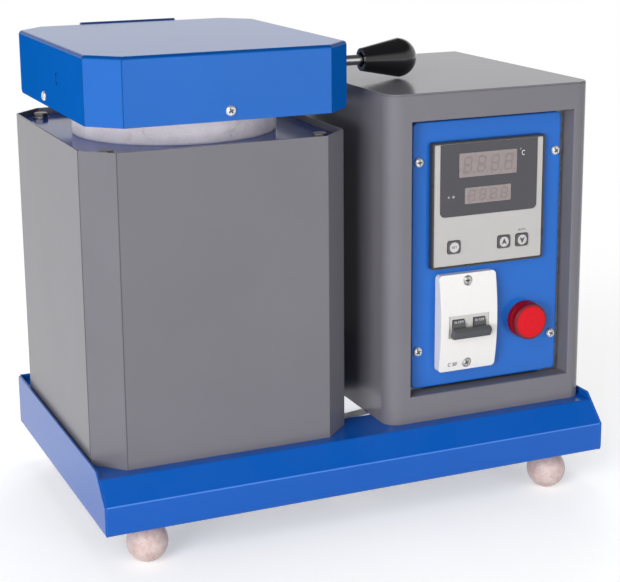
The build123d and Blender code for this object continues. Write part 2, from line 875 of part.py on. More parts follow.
def lead_sleeve():
    """Sleeved heater leads that cross the wiring slot between the two terminal blocks."""
    z = deck - sleeve_drop
    y0 = slot_front + sleeve_from_slot
    slope = sleeve_skew / (terminal_right - terminal_left)
    start = Vector(terminal_left - sleeve_diameter, y0 - slope * sleeve_diameter, z)
    end = Vector(terminal_right + sleeve_diameter, y0 + sleeve_skew + slope * sleeve_diameter, z)
    run = end - start
    tube = Plane(origin=start, z_dir=run) * extrude(Circle(sleeve_diameter / 2), amount=run.length)
    return tube & block(terminal_left, terminal_right, front, back, lip_bottom, deck)


# ---------------------------------------------------------------- lid
def lid_outline():
    """Plan of the lid's outer face."""
    return octagon(lid_width, lid_depth, lid_chamfer, lid_bend_radius)


def flap_notch(x, y, heading):
    """Cutter that rounds the lower corners of two flaps where they meet at a bend."""
    radius = lid_flap_radius
    shape = Pos(0, radius / 2) * Rectangle(2 * radius, radius)
    for side in (-1, 1):
        shape -= Pos(side * radius, radius) * Circle(radius)
    reach = lid_bend_radius + lid_sheet
    along = (-sin(heading), cos(heading), 0)
    outwards = (cos(heading), sin(heading), 0)
    plane = Plane(origin=(x, y, lid_bottom), x_dir=along, z_dir=outwards)
    return plane * Pos(0, 0, -reach) * extrude(shape, amount=2 * reach)


def lid_shell():
    """Folded cap with rounded top edges and rounded flap corners."""
    outline = lid_outline()
    shell = prism(outline, lid_x, lid_y, lid_bottom, lid_top)
    shell = fillet(shell.edges().group_by(Axis.Z)[-1], lid_top_radius)
    hollow = prism(inset(outline, lid_sheet), lid_x, lid_y, lid_bottom - overrun, lid_top - lid_sheet)
    shell -= fillet(hollow.edges().group_by(Axis.Z)[-1], lid_top_radius - lid_sheet)
    shell -= rod_along_x(lid_right - lid_sheet - overrun, lid_right + overrun, rod_y, rod_z, rod_hole)
    inside = lid_left + lid_sheet + overrun
    shell -= rod_along_x(lid_left - overrun, inside, rod_y, rod_z, spare_hole_diameter)
    for place in lid_screw_places:
        shell -= screw_clearance(place)
    for x in hinge_rivet_places:
        y0 = lid_back - lid_sheet - overrun
        shell -= rod_along_y(x, y0, lid_back + overrun, lid_rivet_z, hinge_rivet)
    for side_x, side_y in ((-1, 1), (1, 1), (1, -1)):
        x = lid_x + side_x * lid_width / 2
        y = lid_y + side_y * (lid_depth / 2 - lid_chamfer)
        shell -= flap_notch(x, y, atan2(side_y * sin(pi / 8), side_x * cos(pi / 8)))
    return shell


def lid_screws():
    """Pan-head screws that hold the lid's inner frame."""
    return [place * pan_screw(screw_reach) for place in lid_screw_places]


def lid_frame():
    """Inner angle frame that keeps the fibre board in the cap."""
    outer = inset(lid_outline(), lid_sheet)
    foot = lid_bottom + lid_frame_raise
    opening = octagon(
        lid_width - 2 * (lid_sheet + lid_frame_flange),
        lid_depth - 2 * (lid_sheet + lid_frame_flange),
        lid_chamfer,
        lid_bend_radius,
    )
    frame = prism(outer - inset(outer, lid_sheet), lid_x, lid_y, foot, foot + lid_frame_height)
    frame += prism(outer - opening, lid_x, lid_y, foot, foot + lid_sheet)
    for place in lid_screw_places:
        frame -= screw_clearance(place)
    return frame


def lid_board():
    """Fibre board that fills the cap and closes the mouth, with pockets for what ends inside the lid."""
    outline = inset(lid_outline(), 2 * lid_sheet + lid_board_gap)
    board = prism(outline, lid_x, lid_y, board_bottom, lid_top - lid_sheet - lid_board_gap)
    board = fillet(board.edges().group_by(Axis.Z)[-1], lid_top_radius)
    board -= rod_along_x(lid_left, lid_right, rod_y, rod_z, rod_hole)
    room = 2 * (rod_nut_flats / 2 / cos(radians(30)) + rod_nut_room)
    pocket = lid_right - lid_sheet - rod_nut_height - rod_nut_room
    board -= rod_along_x(pocket, lid_right, rod_y, rod_z, room)
    screw_end = Pos(0, 0, -screw_reach) * Cylinder(lid_screw_room / 2, 2 * overrun + screw_reach)
    for place in lid_screw_places:
        board -= place * screw_end
    for x in hinge_rivet_places:
        y0 = lid_back - lid_sheet - hinge_rivet_height - overrun
        board -= rod_along_y(x, y0, lid_back, lid_rivet_z, hinge_rivet_head + 2 * overrun)
    return board


def handle_rod():
    """Steel rod through the lid, which carries the knob."""
    far_end = lid_left + lid_sheet + rod_end_inset
    return rod_along_x(far_end, knob_x + knob_thread_depth, rod_y, rod_z, rod_diameter)


def handle_nut():
    """Nut that locks the rod against the inside of the lid's right wall."""
    x1 = lid_right - lid_sheet
    nut = facing(x1 - rod_nut_height, rod_y, rod_z, (1, 0, 0)) * hex_prism(rod_nut_flats, rod_nut_height)
    return nut - rod_along_x(x1 - rod_nut_height - overrun, x1 + overrun, rod_y, rod_z, rod_diameter)


def handle_knob():
    """Tapered knob with a domed end and a socket round the rod."""
    small = knob_small_diameter / 2
    large = knob_large_diameter / 2
    outline = make_face(
        Wire(
            [
                Line((0, knob_length), (0, 0)),
                Line((0, 0), (small, 0)),
                Line((small, 0), (large, knob_taper_length)),
                TangentArc((0, knob_length), (large, knob_taper_length), tangent=(1, 0)),
            ]
        )
    )
    knob = turned(outline, Pos(0, 0, 0))
    knob -= rod_along_z(0, 0, -overrun, knob_socket_depth, knob_socket_diameter)
    knob -= rod_along_z(0, 0, -overrun, knob_thread_depth + rod_hole_gap, rod_diameter)
    return facing(knob_x, rod_y, rod_z, (1, 0, 0)) * knob


# ---------------------------------------------------------------- lid hinge
def knuckle_spans(first):
    """Every second knuckle's span along X, with the running gap taken off."""
    pitch = hinge_width / hinge_knuckles
    return [
        (hinge_left + i * pitch + hinge_knuckle_gap / 2, hinge_left + (i + 1) * pitch - hinge_knuckle_gap / 2)
        for i in range(first, hinge_knuckles, 2)
    ]


def hinge_plate(y0, z0, rivet_z, first):
    """A leaf up to the pin, with every second knuckle from the first, cleared round the others."""
    plate = block(hinge_left, hinge_right, y0, y0 + hinge_leaf, z0, pin_z)
    for x in hinge_rivet_places:
        plate -= rod_along_y(x, y0 - overrun, y0 + hinge_leaf + overrun, rivet_z, hinge_rivet)
    for x0, x1 in knuckle_spans(1 - first):
        room = hinge_barrel + 2 * hinge_sweep_gap
        plate -= rod_along_x(x0 - hinge_knuckle_gap, x1 + hinge_knuckle_gap, pin_y, pin_z, room)
    for x0, x1 in knuckle_spans(first):
        plate += rod_along_x(x0, x1, pin_y, pin_z, hinge_barrel)
    bore = hinge_pin + 2 * hinge_running_gap
    return plate - rod_along_x(hinge_left - overrun, hinge_right + overrun, pin_y, pin_z, bore)


def hinge_bracket():
    """Fixed leaf, riveted to the jacket's back."""
    return hinge_plate(jacket_back, rim - hinge_foot_overlap, jacket_rivet_z, 0)


def lid_hinge_leaf():
    """Moving leaf, riveted to the lid's back."""
    return hinge_plate(lid_back, pin_z - hinge_leaf_drop, lid_rivet_z, 1)


def hinge_rivets(y_wall, sheet, z):
    """Rivets from a head inside the wall to a tail on the leaf."""
    inner = y_wall - sheet
    outer = y_wall + hinge_leaf
    return [
        rod_along_y(x, inner, outer, z, hinge_rivet)
        + rod_along_y(x, inner - hinge_rivet_height, inner, z, hinge_rivet_head)
        + rod_along_y(x, outer, outer + hinge_rivet_tail_height, z, hinge_rivet_tail)
        for x in hinge_rivet_places
    ]


# ---------------------------------------------------------------- control box
def box_outline(depth):
    """Plan of the control box, its two front corners well rounded."""
    outline = Rectangle(box_width, depth)
    outline = fillet(outline.vertices().group_by(Axis.Y)[0], box_corner_radius)
    return fillet(outline.vertices().group_by(Axis.Y)[-1], box_rear_radius)


def control_box_wrap():
    """Left side, front frame and right side in one folded sheet, with folded-in window edges."""
    depth = box_depth - box_sheet
    outline = box_outline(depth)
    wrap = prism(outline - inset(outline, box_sheet), box_x, box_front + depth / 2, deck, lid_plate_bottom)
    lip = box_sheet + box_rear_lip
    y0 = cover_plane - box_sheet - box_rear_radius
    wrap -= block(box_left + lip, box_right - lip, y0, cover_plane + overrun, deck - overrun, box_top)
    width = window_right - window_left
    height = window_top - window_bottom
    rim_outline = Rectangle(width + 2 * box_sheet, height + 2 * box_sheet)
    wrap += front_plate(rim_outline, window_x, window_z, box_front, panel_back)
    opening = Rectangle(width, height)
    wrap -= front_plate(opening, window_x, window_z, box_front - overrun, panel_back + overrun)
    edges = [
        e
        for e in wrap.edges()
        if abs(e.center().Y - box_front) < tiny
        and abs(e.center().X - window_x) < width / 2 + tiny
        and abs(e.center().Z - window_z) < height / 2 + tiny
    ]
    return fillet(edges, frame_edge_radius)


def control_box_top():
    """Flat top, a hair inside the wrap's outline."""
    plate = prism(inset(box_outline(box_depth), box_top_inset), box_x, box_y, lid_plate_bottom, box_top)
    return fillet(plate.edges().group_by(Axis.Z)[-1], box_top_round)


def control_box_floor():
    """Floor plate inside the wrap."""
    depth = box_depth - box_sheet
    outline = inset(box_outline(depth), box_sheet + screw_play)
    top = deck + box_floor_thickness
    floor = prism(outline, box_x, box_front + depth / 2, deck, top)
    for x, y in box_screw_places:
        floor -= rod_along_z(x, y, deck - overrun, top + overrun, base_screw_hole)
    return floor


def rear_cover():
    """Back of the control box with two columns of vent slots and the cord inlet's hole."""
    cover = block(box_left, box_right, cover_plane, box_back, deck, lid_plate_bottom)
    slot = SlotOverall(louvre_width, louvre_height)
    y0 = cover_plane - overrun
    y1 = box_back + overrun
    for side in (-1, 1):
        for row in range(louvre_count):
            z = lid_plate_bottom - louvre_top - row * louvre_pitch
            cover -= front_plate(slot, box_x + side * louvre_column, z, y0, y1)
    cover -= rod_along_y(inlet_centre_x, y0, y1, inlet_centre_z, inlet_neck + 2 * inlet_gap)
    for x, z in rear_screw_places:
        cover -= rod_along_y(x, y0, y1, z, panel_screw_hole)
    return cover


def rear_cover_screws():
    """Pan-head screws in the rear cover."""
    return [facing(x, box_back, z, (0, 1, 0)) * pan_screw(box_sheet) for x, z in rear_screw_places]


def cord_inlet():
    """Rubber grommet that the mains lead enters through."""
    x, z = inlet_centre_x, inlet_centre_z
    inner = cover_plane - inlet_inner_depth
    outer = box_back + inlet_flange_depth
    flange = rod_along_y(x, box_back, outer, z, inlet_flange)
    flange = fillet(flange.edges().group_by(Axis.Y)[-1], inlet_flange_round)
    body = flange + rod_along_y(x, inner, box_back, z, inlet_neck)
    body += rod_along_y(x, inner, cover_plane, z, inlet_inner_flange)
    return body - rod_along_y(x, inner - overrun, outer + overrun, z, inlet_bore)


def contactor():
    """Stepped body of the power contactor on the box's floor."""
    foot = deck + box_floor_thickness
    y0 = box_front + contactor_setback
    y1 = y0 + contactor_depth
    x0 = box_x - contactor_width / 2
    x1 = box_x + contactor_width / 2
    top = foot + contactor_height
    body = block(x0, x1, y0, y1, foot, top - contactor_step)
    return body + block(x0, x1, y0 + contactor_step, y1 - contactor_step, foot, top)


# ---------------------------------------------------------------- front panel
def front_panel():
    """Blue panel with folded-back edges and the instruments' cut-outs."""
    width = panel_right - panel_left
    height = panel_top - panel_bottom
    outline = RectangleRounded(width, height, panel_corner_radius)
    panel = front_plate(outline, window_x, window_z, panel_front, panel_back)
    panel = fillet(panel.edges().group_by(Axis.Y)[0], panel_edge_radius)
    inside = panel_front + panel_sheet
    panel -= front_plate(inset(outline, panel_sheet), window_x, window_z, inside, panel_back + overrun)
    before = panel_front - overrun
    side = controller_body + 2 * controller_cutout_gap
    panel -= front_plate(Rectangle(side, side), controller_x, controller_z, before, panel_back)
    panel -= front_plate(breaker_opening(), cover_x, breaker_z, before, panel_back)
    hole = lamp_body_diameter + 2 * lamp_hole_gap
    panel -= rod_along_y(lamp_centre_x, before, panel_back, lamp_centre_z, hole)
    for x, z in panel_screw_places + cover_screw_places:
        panel -= rod_along_y(x, before, panel_back, z, panel_screw_hole)
    return panel


def front_panel_screws():
    """Pan-head screws through the panel into the rails."""
    reach = panel_back + panel_rail_sheet - panel_front
    return [facing(x, panel_front, z, (0, -1, 0)) * pan_screw(reach) for x, z in panel_screw_places]


def panel_rails():
    """Upright strips behind the panel's edges and the window's folded edges."""
    y1 = panel_back + panel_rail_sheet
    rails = []
    for x0, x1 in (
        (window_left - box_sheet, panel_left + panel_rail_lap),
        (panel_right - panel_rail_lap, window_right + box_sheet),
    ):
        rail = block(x0, x1, panel_back, y1, deck + box_floor_thickness, lid_plate_bottom)
        for x, z in panel_screw_places:
            rail -= rod_along_y(x, panel_back - overrun, y1 + overrun, z, panel_screw_hole)
        rails.append(rail)
    return rails


# ---------------------------------------------------------------- temperature controller
def controller_case():
    """Bezel and body of the instrument, with a pocket for the face and wells for the push buttons."""
    x, z = controller_x, controller_z
    outline = RectangleRounded(controller_size, controller_size, controller_corner)
    bezel = front_plate(outline, x, z, controller_front, panel_front)
    bezel = fillet(bezel.edges().group_by(Axis.Y)[0], controller_edge_radius)
    body = Rectangle(controller_body, controller_body)
    case = bezel + front_plate(body, x, z, panel_front, panel_front + controller_body_depth)
    pocket = RectangleRounded(face_pocket, face_pocket, controller_face_corner)
    case -= front_plate(pocket, x, z, controller_front - overrun, face_back)
    for name in button_positions:
        x, z = button_place(name)
        case -= front_plate(button_well(), x, z, face_back - overrun, button_floor)
    return case


def button_place(name):
    """Middle of a push button."""
    return controller_left + button_positions[name], controller_bottom + button_base_height


def button_well():
    """Outline of the opening that a push button travels in."""
    return RectangleRounded(button_width + 2 * button_gap, button_height + 2 * button_gap, button_corner)


def controller_face():
    """Pale face plate with openings for the buttons."""
    size = face_pocket - 2 * screw_play
    outline = RectangleRounded(size, size, controller_face_corner)
    face = front_plate(outline, controller_x, controller_z, face_front, face_back)
    for name in button_positions:
        x, z = button_place(name)
        face -= front_plate(button_well(), x, z, face_front - overrun, face_back + overrun)
    return face


def controller_window():
    """Dark display window over the upper part of the face."""
    outline = Rectangle(face_pocket - 2 * window_side_strip, window_height)
    outline = fillet(outline.vertices().group_by(Axis.Y)[0], window_corner)
    z = controller_top - controller_border - window_top_gap - window_height / 2
    return front_plate(outline, controller_x, z, window_front, face_front)


def display_lenses():
    """Upper and lower display lenses on the window."""
    lenses = []
    for from_left, from_top, width, height in (upper_display, lower_display):
        x = controller_left + from_left + width / 2
        z = controller_top - from_top - height / 2
        outline = RectangleRounded(width, height, display_corner)
        lenses.append(front_plate(outline, x, z, window_front - display_thickness, window_front))
    return lenses


def push_button(name):
    """Push button that travels into the face."""
    x, z = button_place(name)
    y0 = face_front - button_proud
    outline = RectangleRounded(button_width, button_height, button_corner)
    cap = front_plate(outline, x, z, y0, y0 + button_stem)
    return fillet(cap.edges().group_by(Axis.Y)[0], button_edge_radius)


# ---------------------------------------------------------------- breaker
def arched_outline(shrink):
    """Side view of the breaker's cover: flat back on the panel, crowned front."""
    low = cover_z - cover_height / 2 + shrink
    high = cover_z + cover_height / 2 - shrink
    edge = panel_front - cover_edge + shrink
    crown = panel_front - cover_crown + shrink
    return make_face(
        Wire(
            [
                ThreePointArc((edge, high), (crown, cover_z), (edge, low)),
                Line((edge, low), (panel_front, low)),
                Line((panel_front, low), (panel_front, high)),
                Line((panel_front, high), (edge, high)),
            ]
        )
    )


def cover_body(shrink):
    """The cover's full shape, or its hollow when drawn inwards by its wall."""
    width = cover_width - 2 * shrink
    body = side_plate(arched_outline(shrink), cover_x - width / 2, cover_x + width / 2)
    outline = RectangleRounded(width, cover_height - 2 * shrink, cover_corner)
    return body & front_plate(outline, cover_x, cover_z, panel_front - cover_crown, panel_front)


def breaker_opening():
    """Outline of the window that the breaker's nose comes through."""
    room = 2 * breaker_window_gap
    return Rectangle(breaker_width + room, breaker_window_height + room)


def breaker_cover():
    """White crowned cover plate with the breaker's window and two screw seats."""
    before = panel_front - cover_crown - overrun
    seat = cover_screw_seat
    cover = cover_body(0) - cover_body(cover_wall)
    cover -= front_plate(breaker_opening(), cover_x, breaker_z, before, panel_front)
    recess = screw_head_diameter + 2 * screw_play
    for x, z in cover_screw_places:
        cover += rod_along_y(x, panel_front - cover_edge, panel_front, z, cover_screw_boss)
        cover -= rod_along_y(x, before, seat, z, recess)
        cover -= rod_along_y(x, before, panel_front + overrun, z, panel_screw_hole)
    return cover


def breaker_cover_screws():
    """The cover's two screws."""
    return [
        facing(x, cover_screw_seat, z, (0, -1, 0)) * pan_screw(cover_screw_reach) for x, z in cover_screw_places
    ]


def breaker_body():
    """Two-pole breaker: body behind the panel, nose in the cover's window, slots for the levers."""
    y0 = panel_front + panel_sheet
    body = Rectangle(breaker_width, breaker_body_height)
    nose = Rectangle(breaker_width, breaker_window_height)
    breaker = front_plate(body, cover_x, breaker_z, y0, y0 + breaker_body_depth)
    breaker += front_plate(nose, cover_x, breaker_z, nose_front, y0)
    swing = radians(toggle_rest_angle)
    slot = (toggle_axis_depth * sin(swing) + toggle_tip_thickness / 2) / cos(swing) + toggle_gap
    for x in toggle_places:
        x0 = x - toggle_width / 2 - toggle_gap
        x1 = x + toggle_width / 2 + toggle_gap
        breaker -= rod_along_x(x0, x1, toggle_y, breaker_z, toggle_barrel + 2 * toggle_gap)
        breaker -= block(x0, x1, nose_front - overrun, toggle_y, breaker_z - slot, breaker_z + slot)
    screw_end = cover_screw_seat + cover_screw_reach + overrun
    for x, z in cover_screw_places:
        breaker -= rod_along_y(x, y0 - overrun, screw_end, z, panel_screw_hole)
    x0 = cover_x - toggle_half_span
    x1 = cover_x + toggle_half_span
    return breaker - rod_along_x(x0, x1, toggle_y, breaker_z, toggle_pin + 2 * hinge_running_gap)


def breaker_toggle():
    """Two levers joined by a rounded tie bar, drawn level and swung down to the off position."""
    lever_outline = polygon(
        (0, -toggle_thickness / 2),
        (-toggle_reach + tie_bar_depth / 2, -toggle_tip_thickness / 2),
        (-toggle_reach + tie_bar_depth / 2, toggle_tip_thickness / 2),
        (0, toggle_thickness / 2),
    )
    bar = Pos(0, -toggle_reach + tie_bar_depth / 2, 0) * Box(tie_bar_width, tie_bar_depth, tie_bar_height)
    toggle = fillet(bar.edges().filter_by(Axis.X), tie_bar_round)
    for x in toggle_places:
        x0 = x - cover_x - toggle_width / 2
        toggle += side_plate(lever_outline, x0, x0 + toggle_width)
        toggle += rod_along_x(x0, x0 + toggle_width, 0, 0, toggle_barrel)
    bore = toggle_pin + 2 * hinge_running_gap
    toggle -= rod_along_x(-toggle_half_span, toggle_half_span, 0, 0, bore)
    return Pos(cover_x, toggle_y, breaker_z) * Rot(toggle_rest_angle, 0, 0) * toggle


def breaker_pin():
    """Pin that the levers turn on."""
    return rod_along_x(
        cover_x - toggle_half_span + toggle_gap,
        cover_x + toggle_half_span - toggle_gap,
        toggle_y,
        breaker_z,
        toggle_pin,
    )


# ---------------------------------------------------------------- pilot lamp
def lamp_bezel():
    """Round bezel on the panel."""
    y0 = panel_front - lamp_bezel_depth
    ring = rod_along_y(lamp_centre_x, y0, panel_front, lamp_centre_z, lamp_bezel_diameter)
    ring = fillet(ring.edges().group_by(Axis.Y)[0], lamp_bezel_round)
    bore = lamp_bezel_diameter - 2 * lamp_bezel_wall
    return ring - rod_along_y(lamp_centre_x, y0 - overrun, panel_front + overrun, lamp_centre_z, bore)


def lamp_lens():
    """Protruding lens cap with a rounded rim."""
    y0 = panel_front - lamp_lens_depth
    y1 = panel_front - lamp_bezel_depth
    lens = rod_along_y(lamp_centre_x, y0, y1, lamp_centre_z, lamp_lens_diameter)
    lens = fillet(lens.edges().group_by(Axis.Y)[0], lamp_lens_round)
    hollow = lamp_lens_diameter - 2 * lamp_lens_wall
    return lens - rod_along_y(lamp_centre_x, y0 + lamp_lens_wall, y1 + overrun, lamp_centre_z, hollow)


def lamp_body():
    """Barrel behind the panel with its clamping nut."""
    y0 = panel_front + panel_sheet
    y1 = panel_front + lamp_body_depth
    barrel = rod_along_y(lamp_centre_x, panel_front, y1, lamp_centre_z, lamp_body_diameter)
    return barrel + rod_along_y(lamp_centre_x, y0, y0 + lamp_nut_depth, lamp_centre_z, lamp_nut_diameter)


# ---------------------------------------------------------------- writing the pieces
nodes = {
    "base_tray": base_tray(),
    "base_back_plate": base_back_plate(),
    "base_end_plate_left": base_end_plate(-1),
    "base_end_plate_right": base_end_plate(1),
    "ball_feet": ball_feet(),
    "foot_washers": foot_washers(),
    "foot_screws": foot_screws(),
    "base_screws": base_screws(),
    "furnace_jacket": furnace_jacket(),
    "floor_pan": floor_pan(),
    "fibre_lining": fibre_lining(),
    "hearth_brick": hearth_brick(),
    "muffle_tube": muffle_tube(),
    "heating_coil": heating_coil(),
    "top_plate": top_plate(),
    "corner_gussets": corner_gussets(),
    "top_plate_bolts": top_plate_bolts(),
    "top_plate_washers": top_plate_washers(),
    "fibre_collar": fibre_collar(),
    "crucible": crucible(),
    "thermocouple": thermocouple(),
    "terminal_blocks": terminal_blocks(),
    "lead_sleeve": lead_sleeve(),
    "lid_shell": lid_shell(),
    "lid_frame": lid_frame(),
    "lid_board": lid_board(),
    "lid_screws": lid_screws(),
    "handle_rod": handle_rod(),
    "handle_nut": handle_nut(),
    "handle_knob": handle_knob(),
    "lid_hinge_leaf": lid_hinge_leaf(),
    "lid_hinge_rivets": hinge_rivets(lid_back, lid_sheet, lid_rivet_z),
    "hinge_bracket": hinge_bracket(),
    "hinge_bracket_rivets": hinge_rivets(jacket_back, jacket_sheet, jacket_rivet_z),
    "hinge_pin_rod": rod_along_x(hinge_left, hinge_right, pin_y, pin_z, hinge_pin),
    "control_box_wrap": control_box_wrap(),
    "control_box_top": control_box_top(),
    "control_box_floor": control_box_floor(),
    "rear_cover": rear_cover(),
    "rear_cover_screws": rear_cover_screws(),
    "cord_inlet": cord_inlet(),
    "contactor": contactor(),
    "front_panel": front_panel(),
    "front_panel_screws": front_panel_screws(),
    "panel_rails": panel_rails(),
    "controller_case": controller_case(),
    "controller_face": controller_face(),
    "controller_window": controller_window(),
    "display_lenses": display_lenses(),
    "button_set": push_button("set"),
    "button_up": push_button("up"),
    "button_down": push_button("down"),
    "breaker_cover": breaker_cover(),
    "breaker_cover_screws": breaker_cover_screws(),
    "breaker_body": breaker_body(),
    "breaker_toggle": breaker_toggle(),
    "breaker_pin": breaker_pin(),
    "lamp_bezel": lamp_bezel(),
    "lamp_lens": lamp_lens(),
    "lamp_body": lamp_body(),
}

os.makedirs("parts", exist_ok=True)
for node, piece in nodes.items():
    shape = Compound(children=piece) if isinstance(piece, list) else piece
    export_step(shape, f"parts/{node}.step")
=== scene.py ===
from math import cos, pi, radians, sin, tau

import bpy
import numpy as np
from mathutils import Matrix, Vector


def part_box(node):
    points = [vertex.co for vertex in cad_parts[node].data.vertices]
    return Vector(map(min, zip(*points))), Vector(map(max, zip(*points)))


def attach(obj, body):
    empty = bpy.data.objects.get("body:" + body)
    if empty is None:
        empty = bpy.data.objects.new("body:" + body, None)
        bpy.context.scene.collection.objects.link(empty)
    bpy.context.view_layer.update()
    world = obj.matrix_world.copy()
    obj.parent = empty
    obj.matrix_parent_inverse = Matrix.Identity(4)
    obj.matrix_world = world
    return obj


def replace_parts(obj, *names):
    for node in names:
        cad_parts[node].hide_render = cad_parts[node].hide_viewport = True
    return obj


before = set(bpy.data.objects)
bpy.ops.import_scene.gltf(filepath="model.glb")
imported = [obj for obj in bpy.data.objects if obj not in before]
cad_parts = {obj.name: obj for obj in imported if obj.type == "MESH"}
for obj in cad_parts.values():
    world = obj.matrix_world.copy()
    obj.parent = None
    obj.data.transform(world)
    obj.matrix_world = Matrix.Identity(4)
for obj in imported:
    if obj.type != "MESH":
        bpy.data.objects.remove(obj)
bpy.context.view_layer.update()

# An electric melting furnace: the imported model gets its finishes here, with the small pieces that only show:
# recessed screw heads, hexagon bolts, the lid's plug, the fibre collar's torn surface, digits, printed signs,
# the breaker's ribbed grip and the lamp's stepped cap.
# Metres, +Z up, +X to the right of the front, which faces -Y.

MM = 0.001

# ---- sizes of the small pieces

screw_head_radius = 3.7 * MM
screw_head_height = 2.6 * MM
screw_shank_radius = 1.9 * MM
screw_pitch = 0.7 * MM
screw_recess_radius = 2.25 * MM
screw_recess_depth = 1.5 * MM
screw_recess_arm = 0.52 * MM

lid_screw_z = 317 * MM
lid_side_screw_y = 18 * MM

bolt_flats = 10 * MM
bolt_head_height = 3.2 * MM
bolt_washer_radius = 6.2 * MM
bolt_washer_height = 1.0 * MM
bolt_shank_radius = 3 * MM
bolt_reach = 9 * MM
bolt_inset = 8 * MM             # from the outer edges of the CAD's washers

plug_sunk = 0.35 * MM

furnace_axis = Vector((-98 * MM, 9 * MM, 0))
collar_outer = 76 * MM
collar_bore = 50.5 * MM
collar_round = 6 * MM
collar_unevenness = 0.45 * MM

lever_axis_y = -94.5 * MM
lever_axis_z = 138.9 * MM
lever_drum_radius = 6.75 * MM
lever_rest_angle = radians(27)
grip_centre = Vector((95.2 * MM, -103.6 * MM, 134.3 * MM))
grip_length = 31.8 * MM
grip_depth = 5.7 * MM
grip_height = 7.9 * MM
grip_end_round = 0.6 * MM

lamp_centre = Vector((148.7 * MM, 0, 135.2 * MM))
upper_display = (87.4 * MM, 136.4 * MM, 252.2 * MM, 270.4 * MM)
lower_display = (92.4 * MM, 131.7 * MM, 231.8 * MM, 244.1 * MM)

print_thickness = 0.03 * MM

# ---- shader nodes


def node(tree, kind, inputs=None, **settings):
    """Adds a shader node, sets its settings, and links or sets its inputs by name or number."""
    made = tree.nodes.new("ShaderNode" + kind)
    for setting, value in settings.items():
        setattr(made, setting, value)
    for name, value in (inputs or {}).items():
        socket = made.inputs[name]
        if isinstance(value, bpy.types.NodeSocket):
            tree.links.new(value, socket)
        else:
            socket.default_value = (*value, 1.0) if socket.type == "RGBA" else value
    return made


def math(tree, operation, first, second=0.0, clamp=False):
    """One sum on two values."""
    made = node(tree, "Math", {0: first, 1: second}, operation=operation, use_clamp=clamp)
    return made.outputs[0]


def times(tree, first, second):
    """The product of two values."""
    return math(tree, "MULTIPLY", first, second)


def multiply_add(tree, value, factor, added):
    """The value times the factor, plus what is added."""
    return node(tree, "Math", {0: value, 1: factor, 2: added}, operation="MULTIPLY_ADD").outputs[0]


def vector_math(tree, operation, first, second=(0, 0, 0), out="Vector"):
    """One sum on two vectors."""
    made = node(tree, "VectorMath", {0: first, 1: second}, operation=operation)
    return made.outputs[out]


def remap(tree, value, low, high, to_low=0.0, to_high=1.0, smooth=True):
    """Maps low..high to to_low..to_high, clamped."""
    kind = "SMOOTHSTEP" if smooth else "LINEAR"
    inputs = {"Value": value, "From Min": low, "From Max": high, "To Min": to_low, "To Max": to_high}
    return node(tree, "MapRange", inputs, interpolation_type=kind).outputs["Result"]


def mix_colour(tree, amount, first, second):
    """Mixes two colours; 0 gives the first one."""
    made = node(tree, "Mix", {0: amount, 6: first, 7: second}, data_type="RGBA")
    return made.outputs[2]


def noise(tree, place, scale, detail=3.0, roughness=0.5, distortion=0.0, out="Fac"):
    """Fractal noise on a place vector; scale is in waves per metre."""
    inputs = {"Vector": place, "Scale": scale, "Detail": detail, "Roughness": roughness}
    return node(tree, "TexNoise", inputs | {"Distortion": distortion}).outputs[out]


def object_place(tree):
    """The point on the surface, in the object's own frame."""
    return node(tree, "TexCoord").outputs["Object"]


def object_normal(tree):
    """The way the surface faces, in the object's own frame."""
    return node(tree, "TexCoord").outputs["Normal"]


def stretched(tree, place, scale):
    """The place vector with each axis multiplied by its own factor."""
    return vector_math(tree, "MULTIPLY", place, scale)


def wandering(tree, place, scale, detail, roughness, reach):
    """The place vector pushed along every axis by noise, by at most the reach."""
    drift = stretched(tree, noise(tree, place, scale, detail, roughness, out="Color"), (reach, reach, reach))
    return vector_math(tree, "ADD", place, drift)


def shade(colour, factor, added=0.0):
    """A darker or lighter colour, at most white."""
    return [min(1.0, c * factor + added) for c in colour]


def new_group(name, outputs, **inputs):
    """An empty shader group with number inputs, such as Peel_Scale=520.0, and the outputs named in one
    string, which are numbers but for Normal. Returns the group and the sockets of what it is given.
    """
    group = bpy.data.node_groups.new(name, "ShaderNodeTree")
    for label, value in inputs.items():
        label = label.replace("_", " ")
        socket = group.interface.new_socket(name=label, in_out="INPUT", socket_type="NodeSocketFloat")
        socket.default_value = value
    for label in outputs.split():
        kind = "NodeSocketVector" if label == "Normal" else "NodeSocketFloat"
        group.interface.new_socket(name=label, in_out="OUTPUT", socket_type=kind)
    group.nodes.new("NodeGroupOutput")
    return group, group.nodes.new("NodeGroupInput").outputs


def give_results(group, **results):
    """Links a group's results to its outputs, and returns the group."""
    for label, value in results.items():
        group.links.new(value, group.nodes["Group Output"].inputs[label])
    return group


def use_group(tree, group, **values):
    """Places a group in a material with its own values, and returns its outputs."""
    made = node(tree, "Group", node_tree=group)
    for label, value in values.items():
        made.inputs[label.replace("_", " ")].default_value = value
    return made.outputs


# ---- effects shared by finishes


def make_enamel_group():
    """Sprayed enamel: a fine orange peel, a faint cloudiness of the coat and dull hand smudges."""
    group, given = new_group("Sprayed enamel", "Peel Cloud Smudge", Peel_Scale=520.0)
    place = object_place(group)
    fine = noise(group, place, given["Peel Scale"], 1.5, 0.45)
    peel = multiply_add(group, noise(group, place, 85.0, 2.0, 0.5), 0.6, fine)
    cloud = math(group, "SUBTRACT", noise(group, place, 11.0, 4.0, 0.55), 0.5)
    smear = noise(group, stretched(group, place, (1.0, 1.0, 0.6)), 16.0, 3.0, 0.5, 0.6)
    return give_results(group, Peel=peel, Cloud=cloud, Smudge=remap(group, smear, 0.52, 0.78))


